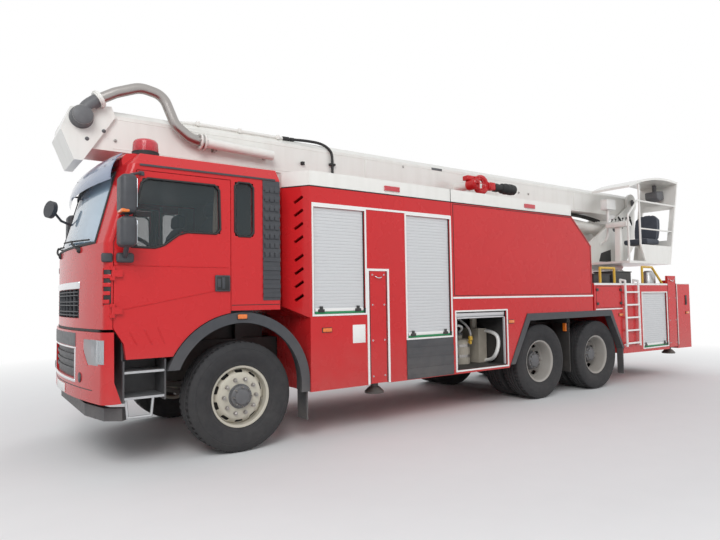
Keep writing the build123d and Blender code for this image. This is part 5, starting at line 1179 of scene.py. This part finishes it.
def pipe_trim():
    """Sleeve, flange rings, clamp, elbow and bolts of the water pipe."""
    y = 0.366
    sleeve = tube([(0.088, y, 3.2243), (-0.745, y, 3.1853)], 0.0568, False, 6)
    rings = [lathe([(0.054, x), (0.086, x), (0.09, x + 0.004), (0.09, x + 0.016), (0.086, x + 0.02),
                    (0.054, x + 0.02)], (0.103, y, 3.2255), 'X', 40) for x in (-0.032, 0.012)]
    clamp = tube([(1.18, y, 3.482), (1.142, y, 3.509)], 0.084, False, 6)
    lip = tube([(1.169, y, 3.49), (1.153, y, 3.501)], 0.094, False, 6)
    end = lathe([(0.0, 0.0), (0.05, 0.0), (0.057, -0.01), (0.057, 0.01), (0.0, 0.01)],
                (-0.745, y, 3.1853), 'X', 32)
    show('pipe_flanges', [sleeve] + rings + [clamp, lip, end], WHITE, 'boom')
    elbow = tube([(1.312, y, 3.3), (1.29, y, 3.372), (1.24, y, 3.437), (1.165, y, 3.493)], 0.066, True, 6)
    boss = lathe([(0.0, 0.438), (0.056, 0.438), (0.09, 0.426), (0.102, 0.404), (0.104, 0.33),
                  (0.112, 0.326), (0.112, 0.31), (0.0, 0.31)], (1.31, 0.0, 3.305), 'Y', 40)
    show('pipe_elbow', [elbow, boss], CAST, 'boom')
    bolts = []
    for number in range(8):
        turn = 2 * PI * number / 8
        dy, dz = 0.073 * math.cos(turn), 0.073 * math.sin(turn)
        bolts.append(tube([(0.062, y + dy, 3.2255 + dz), (0.145, y + dy, 3.2255 + dz)], 0.007, False, 2))
    show('flange_bolts', bolts, STAINLESS, 'boom')


def boom_trim():
    """Weld lines, conduit, hose, patch and studs of the lower boom."""
    welds = [bar((-8.7, side * 0.258, z), (1.0, side * 0.2635, z + 0.008), 0.002) for side in (1, -1)
             for z in (3.352, 3.045)]
    welds += [bar((-8.6, side * 0.15, 3.448), (0.9, side * 0.172, 3.462), 0.004) for side in (1, -1)]
    welds += [bar((x - 0.02, side * 0.258, 3.06), (x + 0.02, side * 0.266, 3.345), 0.003)
              for x in (-2.2, -4.8, -6.9) for side in (1, -1)]
    show('boom_welds', welds, WHITE, 'boom')
    conduit = tube([(0.33, 0.205, 3.44), (0.2, 0.205, 3.462), (0.0, 0.205, 3.466),
                    (-0.98, 0.205, 3.466)], 0.02)
    shoes = [bar((x - 0.02, 0.17, 3.44), (x + 0.02, 0.24, 3.492), 0.006) for x in (0.1, -0.4, -0.9)]
    show('boom_conduit', [conduit] + shoes, WHITE, 'boom')
    hose = tube([(-0.96, 0.205, 3.466), (-1.1, 0.205, 3.47), (-1.3, 0.212, 3.484), (-1.52, 0.25, 3.47),
                 (-1.64, 0.286, 3.38), (-1.65, 0.288, 3.25), (-1.648, 0.286, 3.06)], 0.0175)
    nut = tube([(-0.97, 0.205, 3.466), (-1.06, 0.205, 3.468)], 0.027, False, 3)
    collar = tube([(-1.08, 0.205, 3.469), (-1.13, 0.205, 3.4705)], 0.024, False, 3)
    grip = [bar((-1.69, 0.258, 3.19), (-1.606, 0.306, 3.22), 0.006),
            bar((-1.235, 0.258, 3.15), (-1.19, 0.3, 3.19), 0.006)]
    show('boom_hose', [hose, nut, collar] + grip, RUBBER, 'boom')
    patch = bar((-3.61, 0.259, 3.352), (-3.4, 0.264, 3.388), 0.002)
    show('boom_patch', patch, CAST, 'boom')
    studs = [nut_form(x, side * 0.262, z, side, 0.014, 0.008) for x,
             z in ((-2.853, 3.33), (-5.1, 3.2), (-5.35, 3.2), (-5.6, 3.2), (0.98, 3.13), (1.16, 3.28))
             for side in (1, -1)]
    show('boom_studs', studs, STAINLESS, 'boom')
    face = [nut_form(x, side * 0.309, z, side, 0.016, 0.008) for x, z in ((1.255, 3.1), (1.1, 3.2))
            for side in (1, -1)]
    show('head_caps', face, CAST, 'boom')


def monitor_trim():
    """Black nozzle, hand wheel, flanges and the drive box of the water monitor."""
    nozzle = [(0.05, 0.2), (0.06, 0.198), (0.066, 0.19), (0.066, 0.12), (0.057, 0.11), (0.057, 0.02),
              (0.077, 0.01), (0.0775, -0.05), (0.084, -0.06), (0.084, -0.095), (0.0775, -0.102),
              (0.0775, -0.15), (0.085, -0.158), (0.085, -0.215), (0.0775, -0.225), (0.0775, -0.2615),
              (0.056, -0.2615), (0.052, -0.2612), (0.0, -0.2612)]
    tip = lathe(nozzle, (-4.54, MONITOR_Y, MONITOR_Z), 'X', 40)
    show('monitor_nozzle', tip, RUBBER, 'monitor')
    rings = [lathe([(0.05, -4.2), (0.072, -4.2), (0.072, -4.182), (0.05, -4.182)],
                   (0.0, MONITOR_Y, MONITOR_Z), 'X', 32)]
    rings.append(bar((-4.335, 0.545, 3.075), (-4.225, 0.66, 3.19), 0.014, 3))
    hub = lathe([(0.0, 0.682), (0.04, 0.682), (0.066, 0.676), (0.078, 0.664), (0.08, 0.53), (0.0, 0.53)],
                (-3.9, 0.0, MONITOR_Z), 'Y', 40)
    wheel = lathe([(0.085, 0.73), (0.094, 0.74), (0.103, 0.73), (0.094, 0.72), (0.085, 0.73)],
                  (-3.9, 0.0, MONITOR_Z), 'Y', 40)
    spokes = [tube([(-3.99, 0.73, 3.13), (-3.81, 0.73, 3.13)], 0.008, False),
              tube([(-3.9, 0.73, 3.04), (-3.9, 0.73, 3.22)], 0.008, False),
              tube([(-3.9, 0.67, 3.13), (-3.9, 0.735, 3.13)], 0.014, False)]
    show('monitor_flanges', rings + [hub, wheel] + spokes, RED, 'monitor')
    drive = bar((-4.0, 0.47, 3.195), (-3.82, 0.585, 3.265), 0.012, 3)
    foot = bar((-3.96, 0.5, 3.175), (-3.86, 0.56, 3.2), 0.004)
    show('monitor_drive', [drive, foot], RED, 'monitor')


def turntable_trim():
    """Bolt ring, mast grips, junction box and the lamp under the canopy."""
    bolts = []
    for number in range(24):
        turn = 2 * PI * number / 24
        x, y = TURNTABLE_X + BOLT_CIRCLE * math.cos(turn), BOLT_CIRCLE * math.sin(turn)
        if abs(y) > 0.33 or abs(x - TURNTABLE_X) > 0.62:
            bolts.append(lathe([(0.0, 1.932), (0.016, 1.932), (0.02, 1.928), (0.02, 1.909),
                    (0.0, 1.909)], (x, y, 0.0), 'Z', 6))
    show('turntable_bolts', bolts, STAINLESS, 'turntable')
    grips = []
    for x, z in ((-8.303, 2.883), (-8.64, 2.95)):
        grips.append(tube([(x - 0.075, 0.308, z - 0.105), (x - 0.03, 0.345, z - 0.085),
                (x + 0.04, 0.362, z - 0.01), (x + 0.055, 0.345, z + 0.07), (x + 0.05, 0.308, z + 0.105)],
                0.016))
    show('mast_grips', grips, RUBBER, 'turntable')
    box_ = bar((-7.72, 0.43, 3.04), (-7.45, 0.56, 3.25), 0.025, 3)
    lid = bar((-7.73, 0.556, 3.05), (-7.44, 0.572, 3.24), 0.012, 3)
    post = tube([(-7.585, 0.5, 3.05), (-7.585, 0.5, 2.6), (-7.6, 0.44, 2.48), (-7.62, 0.3, 2.42)], 0.024)
    show('junction_box', [box_, lid, post], TRIM_WHITE, 'turntable')
    lamp = plate([(-8.53, 0.7, 3.42), (-8.78, 0.7, 3.45), (-8.8, 0.7, 3.29), (-8.64, 0.7, 3.23),
                  (-8.54, 0.7, 3.29)], (0.0, 0.24, 0.0), 0.02)
    hanger = bar((-8.7, 0.79, 3.42), (-8.64, 0.85, 3.565), 0.006)
    show('canopy_lamp', [lamp, hanger], CAST, 'turntable')


def station_trim():
    """Seat pedestal, desk with its levers, and the two seat pads."""
    pedestal = lathe([(0.1, 2.062), (0.11, 2.075), (0.075, 2.11), (0.07, 2.34), (0.13, 2.375),
                      (0.13, 2.39), (0.0, 2.39)], (-8.23, 0.78, 0.0), 'Z', 32)
    desk = plate([(-7.545, 0.7, 2.062), (-7.425, 0.7, 2.062), (-7.445, 0.7, 2.69), (-7.515, 0.7, 2.69)],
                 (0.0, 0.11, 0.0), 0.012)
    top = plate([(-7.6, 0.56, 2.69), (-7.39, 0.56, 2.69), (-7.39, 0.56, 2.77), (-7.5, 0.56, 2.805)],
                (0.0, 0.39, 0.0), 0.01)
    whole = joined([pedestal, desk, top])
    show('station_desk', whole, WHITE, 'turntable')
    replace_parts(whole, 'station_seat')
    levers = []
    for number in range(6):
        y = 0.58 + number * 0.068
        levers.append(tube([(-7.535, y, 2.76), (-7.58, y, 2.845)], 0.006, False))
        levers.append(lathe([(0.0, 2.872), (0.01, 2.87), (0.015, 2.86), (0.014, 2.848), (0.006, 2.84),
                (0.0, 2.84)], (-7.583, y, 0.0), 'Z', 20))
    show('station_levers', levers, RUBBER, 'turntable')
    pad('station_cushion', (-8.205, 0.78, 2.445), (0.44, 0.45, 0.13), 0.0, 'turntable')
    pad('station_back', (-8.42, 0.78, 2.7), (0.105, 0.43, 0.54), -0.15, 'turntable', (0.34,))


def mast_trim():
    """Pin caps and dark panels of the mast, and the hoses of the lift cylinder."""
    screws = [nut_form(-8.1, side * MAST_HALF, 2.75, side, 0.05, 0.012) for side in (1, -1)]
    screws += [nut_form(-8.75, side * 0.329, 3.3, side, 0.055, 0.014) for side in (1, -1)]
    show('mast_pin_caps', screws, CAST, 'turntable')
    slots = [plate([(-7.95, side * 0.3095, 2.1), (-7.55, side * 0.3095, 2.1),
                    (-7.62, side * 0.3095, 2.26), (-7.95, side * 0.3095, 2.34)],
                   (0.0, side * 0.0025, 0.0)) for side in (1, -1)]
    show('mast_shadow_panels', slots, FRAME, 'turntable')
    hoses = [tube([(-8.02, y, 2.93), (-7.6, y, 2.99), (-7.0, y, 3.0), (-6.45, y, 3.0), (-6.3, y, 2.96)],
                  0.018) for y in (-0.05, 0.0, 0.05)]
    show('cylinder_hoses', hoses, RUBBER, 'lift_barrel')


def deck_trim():
    """Dark boxes and a bright tank on the deck beside the drum, with tread plate on the deck."""
    boxes = [bar((-7.3, 0.72, DECK), (-6.72, 1.06, DECK + 0.2), 0.012),
             bar((-6.68, 0.76, DECK), (-6.2, 1.04, DECK + 0.15), 0.012)]
    lids = [bar((-7.31, 0.71, DECK + 0.196), (-6.71, 1.07, DECK + 0.214), 0.005),
            bar((-6.69, 0.75, DECK + 0.146), (-6.19, 1.05, DECK + 0.164), 0.005)]
    show_pair('deck_boxes', boxes + lids, FRAME)
    drum = lathe([(0.0, 0.24), (0.06, 0.24), (0.072, 0.22), (0.11, 0.215), (0.118, 0.2), (0.118, 0.0),
                  (0.0, 0.0)], (-8.02, 0.98, DECK), 'Z', 40)
    show_pair('deck_tanks', drum, TREAD)
    sheets = [bar((-8.13, side * 0.64, DECK - 0.001), (-5.92, side * 1.225, DECK + 0.005), 0.002)
              for side in (1, -1)]
    show('deck_sheets', sheets, TREAD)


def wheel_bay():
    """Flap and hanging tag between the drive wheels."""
    flap = bar((-5.318, 0.86, 0.32), (-5.3, 1.17, 1.1), 0.004)
    hang = bar((-5.345, 0.6, 1.06), (-5.275, 1.16, 1.125), 0.006)
    show_pair('bay_flaps', [flap, hang], RUBBER)
    tag = bar((-5.296, 1.08, 0.93), (-5.268, 1.14, 1.055), 0.008, 3)
    show_pair('bay_tags', tag, AMBER_LENS)


# Studio

def studio():
    """Camera at the photograph's place, a pale floor and soft daylight."""
    scene = bpy.context.scene
    scene.view_settings.view_transform = 'Standard'
    yaw, pitch, roll = (math.radians(turn) for turn in EYE_TURNS)
    ahead = Vector((math.sin(yaw) * math.cos(pitch), -math.cos(yaw) * math.cos(pitch), math.sin(pitch)))
    right = ahead.cross(Vector((0, 0, 1))).normalized()
    up = right.cross(ahead)
    right, up = math.cos(roll) * right + math.sin(roll) * up, math.cos(roll) * up - math.sin(roll) * right
    view = bpy.data.cameras.new('view')
    view.sensor_width = 36.0
    view.sensor_fit = 'HORIZONTAL'
    view.lens = EYE_LENS
    view.clip_end = 400.0
    eye = bpy.data.objects.new('view', view)
    eye.matrix_world = Matrix((right, up, -ahead)).transposed().to_4x4()
    eye.location = spot(*EYE_PLACE)
    scene.collection.objects.link(eye)
    scene.camera = eye

    clear()
    bpy.ops.mesh.primitive_circle_add(vertices=96, radius=60.0, fill_type='NGON', location=(0.0, 0.0, -0.001))
    floor = settle('floor')
    pale = Finish('pale floor', 0.85)
    pale.set(Base_Color=pale.blend(pale.grain(3.0, 4.0), (0.80, 0.80, 0.80), (0.77, 0.77, 0.77)))
    reach = pale.node('ShaderNodeVectorMath', {'operation': 'LENGTH'}, {0: pale.place}, 1)
    far = ((reach - FLOOR_CLEAR) / FLOOR_FADE).clipped()
    paper = pale.node('ShaderNodeEmission', {}, {'Color': (1.0, 1.0, 1.0), 'Strength': 1.0})
    lit = Wire(pale, pale.shader.outputs[0])
    pale.send('Material Output', far * pale.seen_rays(), lit, paper)
    floor.data.materials.append(pale.material)

    scene.world = bpy.data.worlds.new('soft daylight')
    scene.world.use_nodes = True
    sky = Net(scene.world.node_tree)
    sky.tree.nodes.remove(sky.tree.nodes['Background'])
    daylight = sky.node('ShaderNodeBackground', {}, {'Color': (0.93, 0.96, 1.0), 'Strength': 0.52})
    white = sky.node('ShaderNodeBackground', {}, {'Color': (1.0, 1.0, 1.0), 'Strength': 1.0})
    sky.send('World Output', sky.seen_rays(), daylight, white)

    for name, place, power, size in (('key', (9.0, 9.0, 8.5), 800.0, 6.0),
                                     ('fill', (-9.0, 9.0, 5.5), 350.0, 7.0),
                                     ('back', (-2.0, -9.0, 8.0), 420.0, 7.0)):
        lamp = bpy.data.lights.new(name, 'AREA')
        lamp.energy = power
        lamp.size = size
        holder = bpy.data.objects.new(name, lamp)
        holder.location = place
        aim = Vector((-0.5, 0.0, 1.4)) - Vector(place)
        holder.rotation_euler = aim.to_track_quat('-Z', 'Y').to_euler()
        holder.visible_glossy = name == 'key'
        scene.collection.objects.link(holder)


studio()
dress_nodes()
dress_tyres()
dress_rims()
forehead()
windscreen_trim()
grille_trim()
corner_gills()
headlamp_set()
door_trim()
quarter_trim()
beacon_ribs()
cab_room()
shutter_slats()
shutter_trim()
body_lines()
marker_lamps()
outrigger_trim()
pump_bay()
rear_body_trim()
roof_trim()
pipe_trim()
boom_trim()
monitor_trim()
turntable_trim()
station_trim()
mast_trim()
deck_trim()
wheel_bay()
